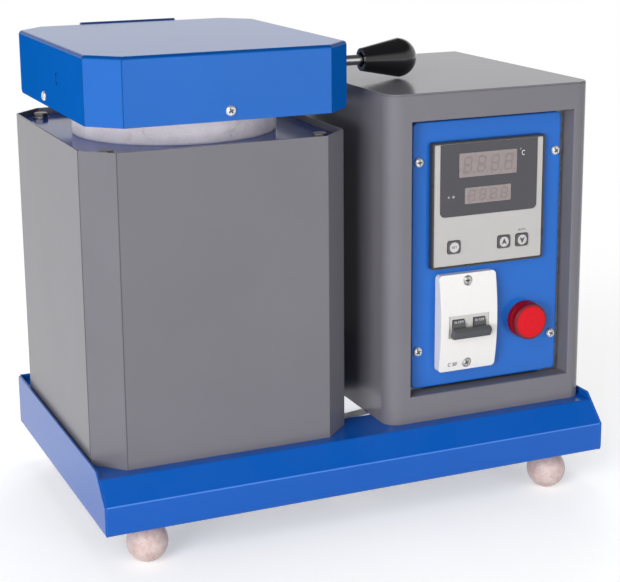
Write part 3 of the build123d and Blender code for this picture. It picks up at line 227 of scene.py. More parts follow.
def make_edge_group():
    """Folded and cut edges: where a rounded normal leaves the true one, broken up by fine noise."""
    group, given = new_group("Sheet edge", "Edge Normal", Radius=0.0006)
    rounded = node(group, "Bevel", {"Radius": given["Radius"]}, samples=6).outputs["Normal"]
    true_normal = node(group, "NewGeometry").outputs["Normal"]
    agreement = vector_math(group, "DOT_PRODUCT", rounded, true_normal, "Value")
    patches = remap(group, noise(group, object_place(group), 260.0, 4.0, 0.6), 0.35, 0.65, 0.75, 1.0)
    edge = times(group, remap(group, agreement, 0.985, 0.80), patches)
    return give_results(group, Edge=edge, Normal=rounded)


def make_bend_group():
    """Folded bends, found by the way they face: upright ones between eighths of a turn, level ones between
    upright and flat, and the low fold between the tray's lip and its slope, which leans back by 40 degrees.
    Each is a cosine that is 0 on the flats and 1 in the middle of the bend.
    """
    group, given = new_group("Folded bend", "Bend", Upright=1.0, Level=1.0, Fold=1.0)

    def wave(angle, count):
        return remap(group, math(group, "COSINE", times(group, angle, count)), 1.0, -1.0)

    facing = node(group, "SeparateXYZ", {0: object_normal(group)}).outputs
    azimuth = math(group, "ARCTAN2", facing[1], facing[0])
    climb = math(group, "ARCSINE", facing[2])
    not_flat = remap(group, math(group, "ABSOLUTE", facing[2]), 0.98, 0.90)
    leaning = times(group, remap(group, climb, 0.0, 0.05), remap(group, climb, 0.66, 0.60))
    upright = times(group, times(group, wave(azimuth, 8.0), not_flat), given["Upright"])
    level = times(group, wave(climb, 4.0), given["Level"])
    fold = times(group, times(group, wave(climb, 9.0), leaning), given["Fold"])
    return give_results(group, Bend=math(group, "MAXIMUM", fold, math(group, "MAXIMUM", upright, level)))


def make_dust_group():
    """Settled dust: only on faces that look up, in soft patches with a few coarser specks."""
    group, given = new_group("Settled dust", "Dust", Amount=0.3)
    place = object_place(group)
    up = node(group, "SeparateXYZ", {0: object_normal(group)}).outputs[2]
    patches = remap(group, noise(group, place, 24.0, 5.0, 0.6), 0.30, 0.85)
    specks = remap(group, noise(group, place, 1500.0, 1.0, 0.5), 0.66, 0.74)
    cover = times(group, remap(group, up, 0.35, 0.95), multiply_add(group, specks, 0.5, patches))
    return give_results(group, Dust=times(group, cover, given["Amount"]))


def make_metal_group():
    """Drawn or plated metal: fine grain, stretched along one axis, and a cloudy tarnish."""
    group, given = new_group("Metal grain", "Grain Tarnish", Along_X=1.0, Along_Z=1.0)
    place = object_place(group)
    factors = {0: given["Along X"], 1: 1.0, 2: given["Along Z"]}
    stretch = node(group, "CombineXYZ", factors).outputs[0]
    grain = noise(group, stretched(group, place, stretch), 1900.0, 3.0, 0.6)
    tarnish = remap(group, noise(group, place, 210.0, 5.0, 0.65, 0.8), 0.4, 0.72)
    return give_results(group, Grain=grain, Tarnish=tarnish)


def make_moulding_group():
    """Moulded plastic: a fine spark-eroded grain, with rubbed and greasy patches."""
    group, given = new_group("Moulded plastic", "Grain Rubbed", Grain_Scale=1500.0)
    place = object_place(group)
    inputs = {"Vector": place, "Scale": given["Grain Scale"], "Randomness": 1.0}
    cells = node(group, "TexVoronoi", inputs, feature="SMOOTH_F1").outputs["Distance"]
    rubbed = remap(group, noise(group, place, 70.0, 5.0, 0.6, 0.9), 0.42, 0.75)
    return give_results(group, Grain=cells, Rubbed=rubbed)


def make_fibre_group():
    """Pressed ceramic fibre: two crossing layers of long fibres, soft clouds and broken hair cracks."""
    group, given = new_group("Pressed fibre", "Fibres Cloud Cracks", Crack_Scale=95.0)
    place = object_place(group)
    bent = wandering(group, place, 180.0, 2.0, 0.5, 0.008)
    along = noise(group, stretched(group, bent, (1.0, 0.22, 0.9)), 1300.0, 4.0, 0.6)
    across = noise(group, stretched(group, bent, (0.25, 1.0, 1.0)), 1100.0, 4.0, 0.6)
    fibres = math(group, "MAXIMUM", along, across)
    inputs = {"Vector": bent, "Scale": given["Crack Scale"]}
    walls = node(group, "TexVoronoi", inputs, feature="DISTANCE_TO_EDGE").outputs["Distance"]
    broken = remap(group, noise(group, place, 60.0, 3.0, 0.6), 0.50, 0.62)
    cracks = times(group, remap(group, walls, 0.022, 0.004), broken)
    return give_results(group, Fibres=fibres, Cloud=noise(group, place, 42.0, 4.0, 0.6), Cracks=cracks)


enamel_effect = make_enamel_group()
edge_effect = make_edge_group()
bend_effect = make_bend_group()
dust_effect = make_dust_group()
metal_effect = make_metal_group()
moulding_effect = make_moulding_group()
fibre_effect = make_fibre_group()

# ---- finishes


def new_finish(name, **sockets):
    """A material with its Principled shader's plain sockets set, such as Coat_Weight=0.5."""
    material = bpy.data.materials.new(name)
    material.use_nodes = True
    tree = material.node_tree
    shader = tree.nodes["Principled BSDF"]
    for socket, value in sockets.items():
        shader.inputs[socket.replace("_", " ")].default_value = value
    return material, tree, shader


def bump(tree, height, depth, normal=None, strength=1.0):
    """A bump of the given depth in metres, on top of another normal if there is one."""
    inputs = {"Height": height, "Distance": depth, "Strength": strength}
    if normal is not None:
        inputs["Normal"] = normal
    return node(tree, "Bump", inputs).outputs["Normal"]


def distance_from(tree, middle, axes):
    """How far the surface is from a point, over the axes whose factor is 1."""
    away = vector_math(tree, "SUBTRACT", object_place(tree), tuple(middle))
    return vector_math(tree, "LENGTH", stretched(tree, away, axes), out="Value")


def dress(tree, shader, colour, roughness, normal):
    """Gives the shader its colour, roughness and normal."""
    for socket, value in (("Base Color", colour), ("Roughness", roughness), ("Normal", normal)):
        tree.links.new(value, shader.inputs[socket])


def enamel(
    name, colour, roughness, specular, painted_edge_colour=None, radius=0.5 * MM, bends=(0.0, 0.0, 0.0), matt_sides=(),
):
    """Sprayed and stoved enamel on folded sheet. Along its edges and bends its colour is painted darker, a
    painted shade for the dark reflections in rounded bends, or takes the edge colour where one is given, a
    painted highlight. It is matt on the flat sides that face the given ways, where the photograph shows no
    mirror image.
    """
    material, tree, shader = new_finish(name)
    paint = use_group(tree, enamel_effect)
    edge = use_group(tree, edge_effect, Radius=radius)
    settled = use_group(tree, dust_effect, Amount=0.02)
    # Edge and bend tone: half the colour as painted shade for dark reflections, or the given edge colour as a
    # painted highlight.
    deeper = painted_edge_colour or shade(colour, 0.5)
    clouds = remap(tree, paint["Cloud"], -0.25, 0.25)
    body = mix_colour(tree, clouds, colour, shade(colour, 1.05, 0.001))
    bend = use_group(tree, bend_effect, Upright=bends[0], Level=bends[1], Fold=bends[2])
    gloss = remap(tree, bend["Bend"], 0.0, 1.0, specular, 0.0, smooth=False)
    for side in matt_sides:
        facing = vector_math(tree, "DOT_PRODUCT", object_normal(tree), side, "Value")
        gloss = times(tree, gloss, remap(tree, facing, 0.86, 0.98, 1.0, 0.0))
    tree.links.new(gloss, shader.inputs["Specular IOR Level"])
    # Painted shade, or a painted highlight, along the edges and bends.
    lined = mix_colour(tree, math(tree, "MAXIMUM", edge["Edge"], bend["Bend"]), body, deeper)
    dusty = mix_colour(tree, settled["Dust"], lined, (0.55, 0.54, 0.53))
    dress(tree, shader, dusty, multiply_add(tree, paint["Smudge"], 0.012, roughness),
          bump(tree, paint["Peel"], 0.012 * MM, edge["Normal"], 0.6))
    return material


def metal(name, colour, tarnish, roughness, along=(1.0, 1.0), depth=0.01, metallic=1.0):
    """Bare, plated or drawn metal, or a passivated plating where metallic is below 1."""
    material, tree, shader = new_finish(name, Metallic=metallic)
    grain = use_group(tree, metal_effect, Along_X=along[0], Along_Z=along[1])
    edge = use_group(tree, edge_effect, Radius=0.25 * MM)
    body = mix_colour(tree, grain["Tarnish"], colour, tarnish)
    bright = mix_colour(tree, edge["Edge"], body, shade(colour, 1.2))
    dress(tree, shader, bright, multiply_add(tree, grain["Grain"], 0.22, roughness - 0.08),
          bump(tree, grain["Grain"], depth * MM, edge["Normal"], 0.5))
    return material


def plastic(
    name, colour, roughness, rubbed=0.12, grain=0.02, dust=0.0, coat=0.0, grain_scale=1500.0, wear=0.9,
):
    """Moulded plastic with its grain, rubbed patches and, on request, dust and a glossy skin."""
    material, tree, shader = new_finish(name, Coat_Weight=coat, Coat_Roughness=0.05)
    skin = use_group(tree, moulding_effect, Grain_Scale=grain_scale)
    edge = use_group(tree, edge_effect, Radius=0.3 * MM)
    settled = use_group(tree, dust_effect, Amount=dust)
    body = mix_colour(tree, skin["Rubbed"], colour, shade(colour, wear))
    pale = mix_colour(tree, times(tree, edge["Edge"], 0.25), body, shade(colour, 0.75, 0.1))
    dusty = mix_colour(tree, settled["Dust"], pale, (0.5, 0.49, 0.48))
    dress(tree, shader, dusty, multiply_add(tree, skin["Rubbed"], -rubbed, roughness),
          bump(tree, skin["Grain"], grain * MM, edge["Normal"], 0.5))
    return material


def fibre(name, colour, crack, stain=0.0, depth=0.35):
    """Ceramic fibre, browned by heat round the furnace's mouth where stain is above 0."""
    material, tree, shader = new_finish(name, Specular_IOR_Level=0.2, Sheen_Weight=0.25, Sheen_Roughness=0.6)
    felt = use_group(tree, fibre_effect)
    clouded = mix_colour(tree, remap(tree, felt["Cloud"], 0.35, 0.7), colour, shade(colour, 0.86))
    lit = mix_colour(tree, remap(tree, felt["Fibres"], 0.5, 0.8), clouded, shade(colour, 1.12))
    cracked = mix_colour(tree, times(tree, felt["Cracks"], 0.45), lit, crack)
    uneven = multiply_add(tree, felt["Cloud"], 24 * MM, distance_from(tree, furnace_axis, (1, 1, 0)))
    browned = times(tree, remap(tree, uneven, 74 * MM, 48 * MM), stain)
    scorched = mix_colour(tree, browned, cracked, (0.25, 0.15, 0.10))
    height = multiply_add(tree, felt["Cracks"], -1.2, felt["Fibres"])
    dress(tree, shader, scorched, remap(tree, felt["Fibres"], 0.3, 0.8, 0.95, 0.75),
          bump(tree, height, depth * MM, None, 0.8))
    return material


def marbled_ceramic(name):
    """Fired ball feet: pinkish off-white clay with drifting veins, pits and a dull glaze."""
    material, tree, shader = new_finish(name, Coat_Weight=0.15, Coat_Roughness=0.3)
    place = object_place(tree)
    bent = wandering(tree, place, 90.0, 3.0, 0.6, 0.02)
    cloud = remap(tree, noise(tree, bent, 110.0, 5.0, 0.62), 0.38, 0.66)
    veins = noise(tree, bent, 120.0, 4.0, 0.6)
    vein = remap(tree, math(tree, "ABSOLUTE", math(tree, "SUBTRACT", veins, 0.5)), 0.018, 0.0)
    body = mix_colour(tree, cloud, (0.66, 0.54, 0.51), (0.55, 0.40, 0.37))
    lined = mix_colour(tree, times(tree, vein, 0.55), body, (0.52, 0.27, 0.23))
    pits = remap(tree, noise(tree, place, 620.0, 2.0, 0.5), 0.70, 0.76)
    pitted = mix_colour(tree, times(tree, pits, 0.5), lined, (0.33, 0.20, 0.18))
    height = math(tree, "SUBTRACT", times(tree, veins, 0.5), pits)
    dress(tree, shader, pitted, remap(tree, cloud, 0.0, 1.0, 0.34, 0.5),
          bump(tree, height, 0.15 * MM, None, 0.7))
    return material


def brick(name, colour, grit, depth=0.3):
    """Fired refractory or glazed ceramic: grit in a paler body."""
    material, tree, shader = new_finish(name, Specular_IOR_Level=0.3)
    felt = use_group(tree, fibre_effect, Crack_Scale=55.0)
    place = object_place(tree)
    grains = remap(tree, noise(tree, place, 900.0, 3.0, 0.7), 0.52, 0.68)
    body = mix_colour(tree, remap(tree, felt["Cloud"], 0.35, 0.7), colour, shade(colour, 0.82))
    gritty = mix_colour(tree, times(tree, grains, 0.6), body, grit)
    cracked = mix_colour(tree, times(tree, felt["Cracks"], 0.6), gritty, shade(colour, 0.4))
    dress(tree, shader, cracked, remap(tree, grains, 0.0, 1.0, 0.85, 0.6),
          bump(tree, grains, depth * MM, None, 0.7))
    return material


def clay_graphite(name):
    """The crucible: dark clay graphite with metallic flakes, brown burnt streaks and a rubbed rim."""
    material, tree, shader = new_finish(name, Specular_IOR_Level=0.6)
    place = object_place(tree)
    flakes = remap(tree, noise(tree, place, 1400.0, 3.0, 0.7), 0.55, 0.72)
    streaks = remap(tree, noise(tree, stretched(tree, place, (1, 1, 0.25)), 75.0, 5.0, 0.6), 0.45, 0.75)
    edge = use_group(tree, edge_effect, Radius=0.8 * MM)
    body = mix_colour(tree, flakes, (0.045, 0.045, 0.05), (0.20, 0.20, 0.22))
    burnt = mix_colour(tree, times(tree, streaks, 0.5), body, (0.13, 0.07, 0.04))
    rubbed = mix_colour(tree, times(tree, edge["Edge"], 0.5), burnt, (0.28, 0.27, 0.27))
    dress(tree, shader, rubbed, remap(tree, flakes, 0.0, 1.0, 0.75, 0.38),
          bump(tree, flakes, 0.12 * MM, edge["Normal"], 0.6))
    return material


def pilot_red(name, centre, colour, ring_pitch, depth, roughness=0.12):
    """Clear red lamp plastic over turned rings, centred on the lamp's axis."""
    material, tree, shader = new_finish(name, Specular_IOR_Level=0.12)
    ring = math(tree, "SINE", times(tree, distance_from(tree, centre, (1, 0, 1)), tau / ring_pitch))
    skin = use_group(tree, moulding_effect, Grain_Scale=900.0)
    body = mix_colour(tree, remap(tree, ring, -1.0, 1.0, 0.0, 0.12), colour, shade(colour, 0.55))
    dress(tree, shader, body, multiply_add(tree, skin["Rubbed"], 0.12, roughness),
          bump(tree, ring, depth * MM, None, 0.35))
    return material


finishes = {
    # The tray's pale edge colour along its edges and low fold is a painted highlight.
    "base_paint": enamel(
        "Tray enamel", (0.001, 0.090, 0.435), 0.16, 0.30, (0.085, 0.22, 0.66), bends=(0, 0, 1),
    ),
    # The lid's upright and level bends are painted darker: painted shade for dark reflections in the bends.
    "lid_paint": enamel(
        "Lid enamel", (0.002, 0.104, 0.435), 0.15, 0.44,
        bends=(0.8, 0.9, 0), matt_sides=((-1, 0, 0), (0.707, -0.707, 0)),
    ),
    "panel_paint": enamel("Panel enamel", (0.010, 0.122, 0.49), 0.18, 0.33),
    # The jacket's upright bends are painted darker: painted shade for dark reflections in the bends.
    "jacket_paint": enamel("Jacket enamel", (0.152, 0.147, 0.167), 0.26, 0.40, bends=(0.9, 0, 0)),
    "box_paint": enamel("Control box enamel", (0.160, 0.154, 0.175), 0.17, 0.32),
    # The top plate's blue is the lid's blue made darker: painted shade under the lid.
    "plate_paint": enamel("Top plate enamel", (0.001, 0.060, 0.34), 0.12, 0.20),
    "zinc": metal("Bright zinc", (0.86, 0.87, 0.88), (0.66, 0.66, 0.64), 0.24, depth=0.008, metallic=0.7),
    "bare_steel": metal("Mill steel", (0.50, 0.50, 0.51), (0.32, 0.31, 0.31), 0.42, (1.0, 0.15)),
    # The hinge's dark navy is the lid's blue painted darker: painted shade behind the lid.
    "hinge_steel": enamel("Hinge enamel", (0.004, 0.040, 0.19), 0.25, 0.4, radius=0.4 * MM),
    "aged_bolt": metal("Aged bolt steel", (0.40, 0.375, 0.35), (0.22, 0.18, 0.15), 0.34, depth=0.01),
    "dull_screw": metal("Dull nickel", (0.74, 0.75, 0.73), (0.62, 0.63, 0.60), 0.42, depth=0.008),
    "recess": metal("Recess shadow", (0.16, 0.16, 0.15), (0.09, 0.09, 0.08), 0.5, depth=0.01),
    "handle_chrome": metal("Rod chrome", (0.80, 0.80, 0.81), (0.70, 0.70, 0.71), 0.16, (0.05, 1.0), 0.004),
    "coil_wire": metal("Oxidised heating wire", (0.20, 0.19, 0.18), (0.11, 0.09, 0.08), 0.60, depth=0.03),
    "fibre": fibre("Ceramic fibre", (0.85, 0.80, 0.83), (0.60, 0.44, 0.42), 0.5),
    "refractory": brick("Refractory", (0.72, 0.66, 0.56), (0.50, 0.40, 0.30)),
    "terminal_ceramic": brick("Terminal ceramic", (0.82, 0.80, 0.75), (0.70, 0.66, 0.60), 0.05),
    "graphite": clay_graphite("Clay graphite"),
    "foot_ceramic": marbled_ceramic("Fired ball"),
    "sleeve": fibre("Braided sleeve", (0.82, 0.80, 0.76), (0.6, 0.56, 0.5), 0.0, 0.25),
    "knob_plastic": plastic("Knob plastic", (0.006, 0.006, 0.007), 0.16, 0.06, 0.004, 0.02, 0.6, 700.0),
    "inlet_rubber": plastic("Inlet rubber", (0.025, 0.025, 0.027), 0.6, 0.15, 0.05, 0.06),
    "dark_plastic": plastic("Dark plastic", (0.04, 0.04, 0.042), 0.45, 0.15, 0.03, 0.05),
    "controller_plastic": plastic("Controller face", (0.475, 0.463, 0.452), 0.34, 0.05, 0.008, wear=0.97),
    "controller_bezel": plastic("Controller bezel", (0.035, 0.034, 0.036), 0.35, 0.12, 0.03),
    "window_plastic": plastic("Tinted window", (0.058, 0.056, 0.066), 0.22, 0.05, 0.003, wear=0.97),
    "lens_plastic": plastic("Display lens", (0.270, 0.230, 0.230), 0.28, 0.05, 0.003, wear=0.97),
    "button_plastic": plastic("Key plastic", (0.075, 0.073, 0.080), 0.38, 0.15, 0.02),
    "white_plastic": plastic(
        "White cover plastic", (0.765, 0.750, 0.732), 0.26, 0.05, 0.006, coat=0.1, wear=0.98,
    ),
    "nose_plastic": plastic("Breaker body plastic", (0.56, 0.55, 0.53), 0.35, 0.1, 0.02),
    "toggle_plastic": plastic("Lever plastic", (0.075, 0.076, 0.082), 0.32, 0.03, 0.01, wear=0.96),
    "lamp_plastic": pilot_red("Lamp red", lamp_centre, (0.65, 0.008, 0.018), 5.0 * MM, 0.01, 0.15),
    "lamp_bezel": pilot_red("Lamp bezel red", lamp_centre, (0.26, 0.002, 0.010), 0.9 * MM, 0.02, 0.25),
    # The rim's red, and the bezel red where the cap's side takes it, are painted shade on the cap's one red
    # plastic.
    "lamp_rim": plastic("Lamp rim", (0.150, 0.002, 0.008), 0.3, 0.05, 0.003),
    "digit": plastic("Unlit digit", (0.228, 0.186, 0.182), 0.3, 0.05, 0.003, wear=0.97),
    "print_white": plastic("White print", (0.78, 0.78, 0.78), 0.5, 0.1, 0.003),
    "print_grey": plastic("Grey print", (0.36, 0.36, 0.38), 0.5, 0.1, 0.003),
    "print_dark": plastic("Dark print", (0.055, 0.055, 0.060), 0.5, 0.1, 0.003),
    "print_pale": plastic("Key print", (0.56, 0.55, 0.545), 0.42, 0.1, 0.003),
}

own_finish = {
    "controller_case": "controller_bezel",
    "lamp_bezel": "lamp_bezel",
    "hinge_pin_rod": "hinge_steel",
}

for name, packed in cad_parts.items():
    finish = own_finish.get(name, packed.data.materials[0].name)
    packed.material_slots[0].material = finishes[finish]

# ---- meshes


def new_object(name, data):
    """An object in the scene with the given data."""
    made = bpy.data.objects.new(name, data)
    bpy.context.scene.collection.objects.link(made)
    return made


def add_mesh(name, mesh, finish, body):
    """A finished mesh in the scene with the given finish, on the body that it rides on."""
    mesh.materials.append(finishes[finish])
    piece = new_object(name, mesh)
    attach(piece, body)
    return piece


def add_piece(name, points, faces, finish, slot, body, smooth=True):
    """A finished piece from its points, an N x 3 array in metres, and its faces."""
    mesh = bpy.data.meshes.new(name)
    mesh.from_pydata(np.asarray(points).reshape(-1, 3).tolist(), [], [list(face) for face in faces])
    mesh.polygons.foreach_set("use_smooth", np.full(len(mesh.polygons), smooth))
    return add_mesh(name, mesh, finish, body)


def joined(shapes):
    """Several shapes, each its points and its faces, as one."""
    faces, count = [], 0
    for points, own_faces in shapes:
        faces += [[index + count for index in face] for face in own_faces]
        count += len(points)
    return np.concatenate([points for points, own_faces in shapes]), faces


def full_turn(count):
    """Angles evenly round a full turn, from 0."""
    return np.linspace(0, tau, count, endpoint=False)


def grid_faces(rows, columns, close_rows=False):
    """The quads of a grid of points numbered row by row, whose columns close and whose rows may."""
    row = np.arange(rows if close_rows else rows - 1)[:, None]
    column = np.arange(columns)[None, :]
    next_row = (row + 1) % rows
    next_column = (column + 1) % columns
    corners = (row, column), (row, next_column), (next_row, next_column), (next_row, column)
    return np.stack([r * columns + c for r, c in corners], axis=-1).reshape(-1, 4)


def swept(radius, height, angle):
    """The points (r cos a, r sin a, h) for every angle a, of radii and heights that may vary with it."""
    return np.stack(np.broadcast_arrays(radius * np.cos(angle), radius * np.sin(angle), height), axis=-1)


def closed_revolution(radius, height, turns):
    """A profile of radii and heights turned about +Z, with one point at each pole that it starts and ends on.

    The points are (r cos a, r sin a, h) for every a of a full turn; the first and last profile points are
    poles, each joined to its ring by a fan of triangles. The profile runs from the top down.
    """
    radius, height = [side.reshape(len(side), -1) for side in (radius, height)]
    rings = swept(radius[1:-1], height[1:-1], full_turn(turns))
    poles = [[0, 0, np.mean(height[0])], [0, 0, np.mean(height[-1])]]
    column = np.arange(turns)
    after = (column + 1) % turns
    base = (len(rings) - 1) * turns
    top = np.full(turns, base + turns)
    quads = grid_faces(len(rings), turns)[:, ::-1].tolist()
    fan = np.stack([column, after, top], axis=-1).tolist()
    under = np.stack([base + after, base + column, top + 1], axis=-1).tolist()
    return np.concatenate([rings.reshape(-1, 3), poles]), quads + fan + under


def turned(points, place, direction):
    """Points made along +Z, turned to look along direction and moved to place."""
    turn = np.array(Vector(direction).to_track_quat("Z", "Y").to_matrix())
    return points @ turn.T + np.array(place)


def recessed_screw(spin, reach):
    """A pan-head screw with a cross recess, its seat at z 0 and its head towards +Z.

    The head is a shallow dome, h(r) = height (1 - 0.62 (r / R)^4), less a cross: where the point, turned by
    the screw's spin, is nearer to either arm than the arm's half width and inside the recess's radius, it is
    lowered, more towards the middle. Below the seat the shank's radius swings with the turn and the depth as
    a thread.
    """
    turns = 72
    angle = full_turn(turns)[None, :]
    reach_out = np.concatenate([np.linspace(0.04, 0.66, 15), np.linspace(0.72, 1.0, 7)])
    radius = (reach_out * screw_head_radius)[:, None] + 0 * angle
    height = screw_head_height * (1 - (radius / screw_head_radius) ** 4 * 0.62)
    x = radius * np.cos(angle - spin)
    y = radius * np.sin(angle - spin)
    off_arm = np.minimum(np.abs(x), np.abs(y))
    across = np.clip((screw_recess_arm * 1.25 - off_arm) / (screw_recess_arm * 0.5), 0, 1)
    inside = np.clip((screw_recess_radius - radius) / (0.22 * screw_recess_radius), 0, 1)
    deeper = 0.55 + 0.45 * (1 - radius / screw_recess_radius)
    height = height - screw_recess_depth * across * inside * np.maximum(deeper, 0)
    sunk = across * inside > 0.5
    depth = np.linspace(0, reach, 30)[:, None] + 0 * angle
    thread = screw_shank_radius + 0.14 * MM * np.sin(tau * depth / screw_pitch - angle)
    skirt_radius = np.full((2, turns), screw_head_radius)
    skirt_height = np.array([[0.30], [0.02]]) * screw_head_height + 0 * angle
    all_radius = np.concatenate([0 * angle, radius, skirt_radius, thread, 0 * angle])
    all_height = np.concatenate([
        np.full((1, turns), screw_head_height - screw_recess_depth), height, skirt_height,
        -depth, np.full((1, turns), -reach),
    ])
    points, faces = closed_revolution(all_radius, all_height, turns)
    in_recess = np.zeros(len(faces), int)
    in_recess[:(sunk.shape[0] - 1) * turns] = (sunk[:-1] & sunk[1:]).ravel()
    return points, faces, in_recess


def screws(name, node_name, body, reach, places, size=1.0, finish="zinc"):
    """A set of recessed screws in one piece, each at (place, direction), in the place of its CAD node."""
    shapes, recess = [], []
    for number, (place, direction) in enumerate(places):
        points, faces, in_recess = recessed_screw(0.5 + 1.1 * number, reach / size)
        shapes.append((turned(points * size, place, direction), faces))
        recess.append(in_recess)
    piece = add_piece(name, *joined(shapes), finish, "zinc", body)
    # The cross recesses take the dark Recess shadow finish: painted shade in the recess.
    piece.data.materials.append(finishes["recess"])
    piece.data.polygons.foreach_set("material_index", np.concatenate(recess))
    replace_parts(piece, node_name)


def screw_corners(name):
    """The x and z of screws whose heads fill a CAD node's box to its four corners."""
    low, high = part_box(name)
    return [
        (x, z)
        for x in (low.x + screw_head_radius, high.x - screw_head_radius)
        for z in (low.z + screw_head_radius, high.z - screw_head_radius)
    ]


def hexagon_bolts():
    """The top plate's four hexagon bolts with their washers, in the places of the CAD's larger ones.

    A head's radius is half its flats over the cosine of the angle from the nearest flat's middle; towards the
    top it is held under a cone, which turns its corners down. Below it come the washer and the shank.
    """
    low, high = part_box("top_plate_washers")
    seat = low.z + bolt_washer_height
    turns = 72
    angle = full_turn(turns)
    hexagon = bolt_flats / 2 / np.cos((angle + pi / 6) % (pi / 3) - pi / 6)
    cone = np.array([0.40, 0.94, 1.02, 1.16, 1.16]) * bolt_flats / 2
    head = np.minimum(hexagon, cone[:, None])
    washer, shank, top = bolt_washer_radius, bolt_shank_radius, bolt_head_height
    levels = [top, top, top, top - 0.45 * MM, top - 0.9 * MM, 0]
    levels += [0, -0.15 * MM, -bolt_washer_height, -bolt_washer_height, -bolt_reach, -bolt_reach]
    below = np.array([0.97 * washer, washer, washer, shank, shank, 0])[:, None] + 0 * angle
    radius = np.concatenate([[0 * angle], head, below])
    points, faces = closed_revolution(radius, np.array(levels), turns)
    shapes = [
        (turned(points, (x, y, seat), (0, 0, 1)), faces)
        for x in (low.x + bolt_inset, high.x - bolt_inset)
        for y in (low.y + bolt_inset, high.y - bolt_inset)
    ]
    bolts = add_piece("hexagon_bolts", *joined(shapes), "aged_bolt", "zinc", "furnace", smooth=False)
    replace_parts(bolts, "top_plate_bolts", "top_plate_washers")


hexagon_bolts()

lid_low, lid_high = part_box("lid_shell")
lid_middle_x = (lid_low.x + lid_high.x) / 2
screws("lid_screw_heads", "lid_screws", "lid", 6 * MM, [
    ((lid_middle_x, lid_low.y, lid_screw_z), (0, -1, 0)),
    ((lid_middle_x, lid_high.y, lid_screw_z), (0, 1, 0)),
    ((lid_low.x, lid_side_screw_y, lid_screw_z), (-1, 0, 0)),
    ((lid_high.x, lid_side_screw_y, lid_screw_z), (1, 0, 0)),
])

panel_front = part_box("front_panel")[0].y
screws("panel_screw_heads", "front_panel_screws", "furnace", 7 * MM, [
    ((x, panel_front, z), (0, -1, 0)) for x, z in screw_corners("front_panel_screws")
])

cover_low, cover_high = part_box("breaker_cover_screws")
screws("cover_screw_heads", "breaker_cover_screws", "furnace", 7.4 * MM, [
    (((cover_low.x + cover_high.x) / 2, cover_low.y + screw_head_height, z), (0, -1, 0))
    for z in (cover_low.z + screw_head_radius, cover_high.z - screw_head_radius)
], size=0.97, finish="dull_screw")

rear_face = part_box("rear_cover")[1].y
screws("rear_screw_heads", "rear_cover_screws", "furnace", 1.2 * MM, [
    ((x, rear_face, z), (0, 1, 0)) for x, z in screw_corners("rear_cover_screws")
])


def ripple(points, waves, seed, count=24):
    """Smooth noise from 0 to 1: the mean of many sine waves in random directions, all drawn from one seed."""
    draw = np.random.default_rng(seed)
    direction = draw.normal(size=(count, 3))
    direction /= np.linalg.norm(direction, axis=1, keepdims=True)
    length = waves * draw.uniform(0.5, 1.8, (count, 1))
    phase = draw.uniform(0, tau, count)
    total = np.sin(points @ (direction * length * tau).T + phase).sum(-1)
    return np.clip(0.5 + 0.5 * total / np.sqrt(count), 0, 1)


def spare_hole_plug():
    """The painted plug in the hole of the lid's left flap, at the rod's height.

    A turned cap: its face is a shallow dome that ends in a rounded rim, and its back is flat.
    """
    low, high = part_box("handle_rod")
    radius = np.array([0.0, 1.2, 2.4, 3.3, 3.9, 4.2, 4.35, 4.35, 4.35, 0.0]) * MM
    height = np.array([0.0, -0.01, -0.05, -0.11, -0.19, -0.30, -0.45, -0.70, -0.75, -0.75]) * MM
    points, faces = closed_revolution(radius, height, 48)
    place = (lid_low.x + plug_sunk, (low.y + high.y) / 2, (low.z + high.z) / 2)
    add_piece("spare_hole_plug", turned(points, place, (-1, 0, 0)), faces, "lid_paint", "lid_paint", "lid")


spare_hole_plug()


def torn_fibre_collar():
    """The fibre collar: a rounded rectangle turned about the furnace's axis, pushed in by smooth noise.

    Its section goes up the outer wall, round a quarter circle, in over the top and down the bore; every point
    is moved inward along the section's normal by up to the collar's unevenness.
    """
    low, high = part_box("fibre_collar")
    angle = full_turn(256)
    bend = np.linspace(0, pi / 2, 12)
    brow, shoulder = collar_outer - collar_round, high.z - collar_round
    outer = np.linspace((collar_outer, low.z), (collar_outer, shoulder), 14)
    corner = np.stack([brow + collar_round * np.cos(bend), shoulder + collar_round * np.sin(bend)], axis=-1)
    top = np.linspace((brow, high.z), (collar_bore, high.z), 16)
    bore = np.linspace((collar_bore, high.z), (collar_bore, low.z), 15)
    bottom = np.linspace((collar_bore, low.z), (collar_outer, low.z), 6)
    section = np.concatenate([outer, corner[1:], top[1:], bore[1:], bottom[1:-1]])
    along = np.roll(section, -1, axis=0) - np.roll(section, 1, axis=0)
    inward = np.stack([-along[:, 1], along[:, 0]], axis=-1)
    inward /= np.linalg.norm(inward, axis=1, keepdims=True)
    points = swept(section[:, :1], section[:, 1:], angle)
    push = collar_unevenness * (0.65 * ripple(points, 90.0, 3) + 0.35 * ripple(points, 420.0, 4))
    push[section[:, 1] < low.z + 0.01 * MM] = 0
    moved = section[:, None] + inward[:, None] * push[..., None]
    points = swept(moved[..., 0], moved[..., 1], angle) + np.array(furnace_axis)
    faces = grid_faces(len(section), len(angle), close_rows=True)
    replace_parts(add_piece("torn_fibre_collar", points, faces, "fibre", "fibre", "furnace"), "fibre_collar")


torn_fibre_collar()


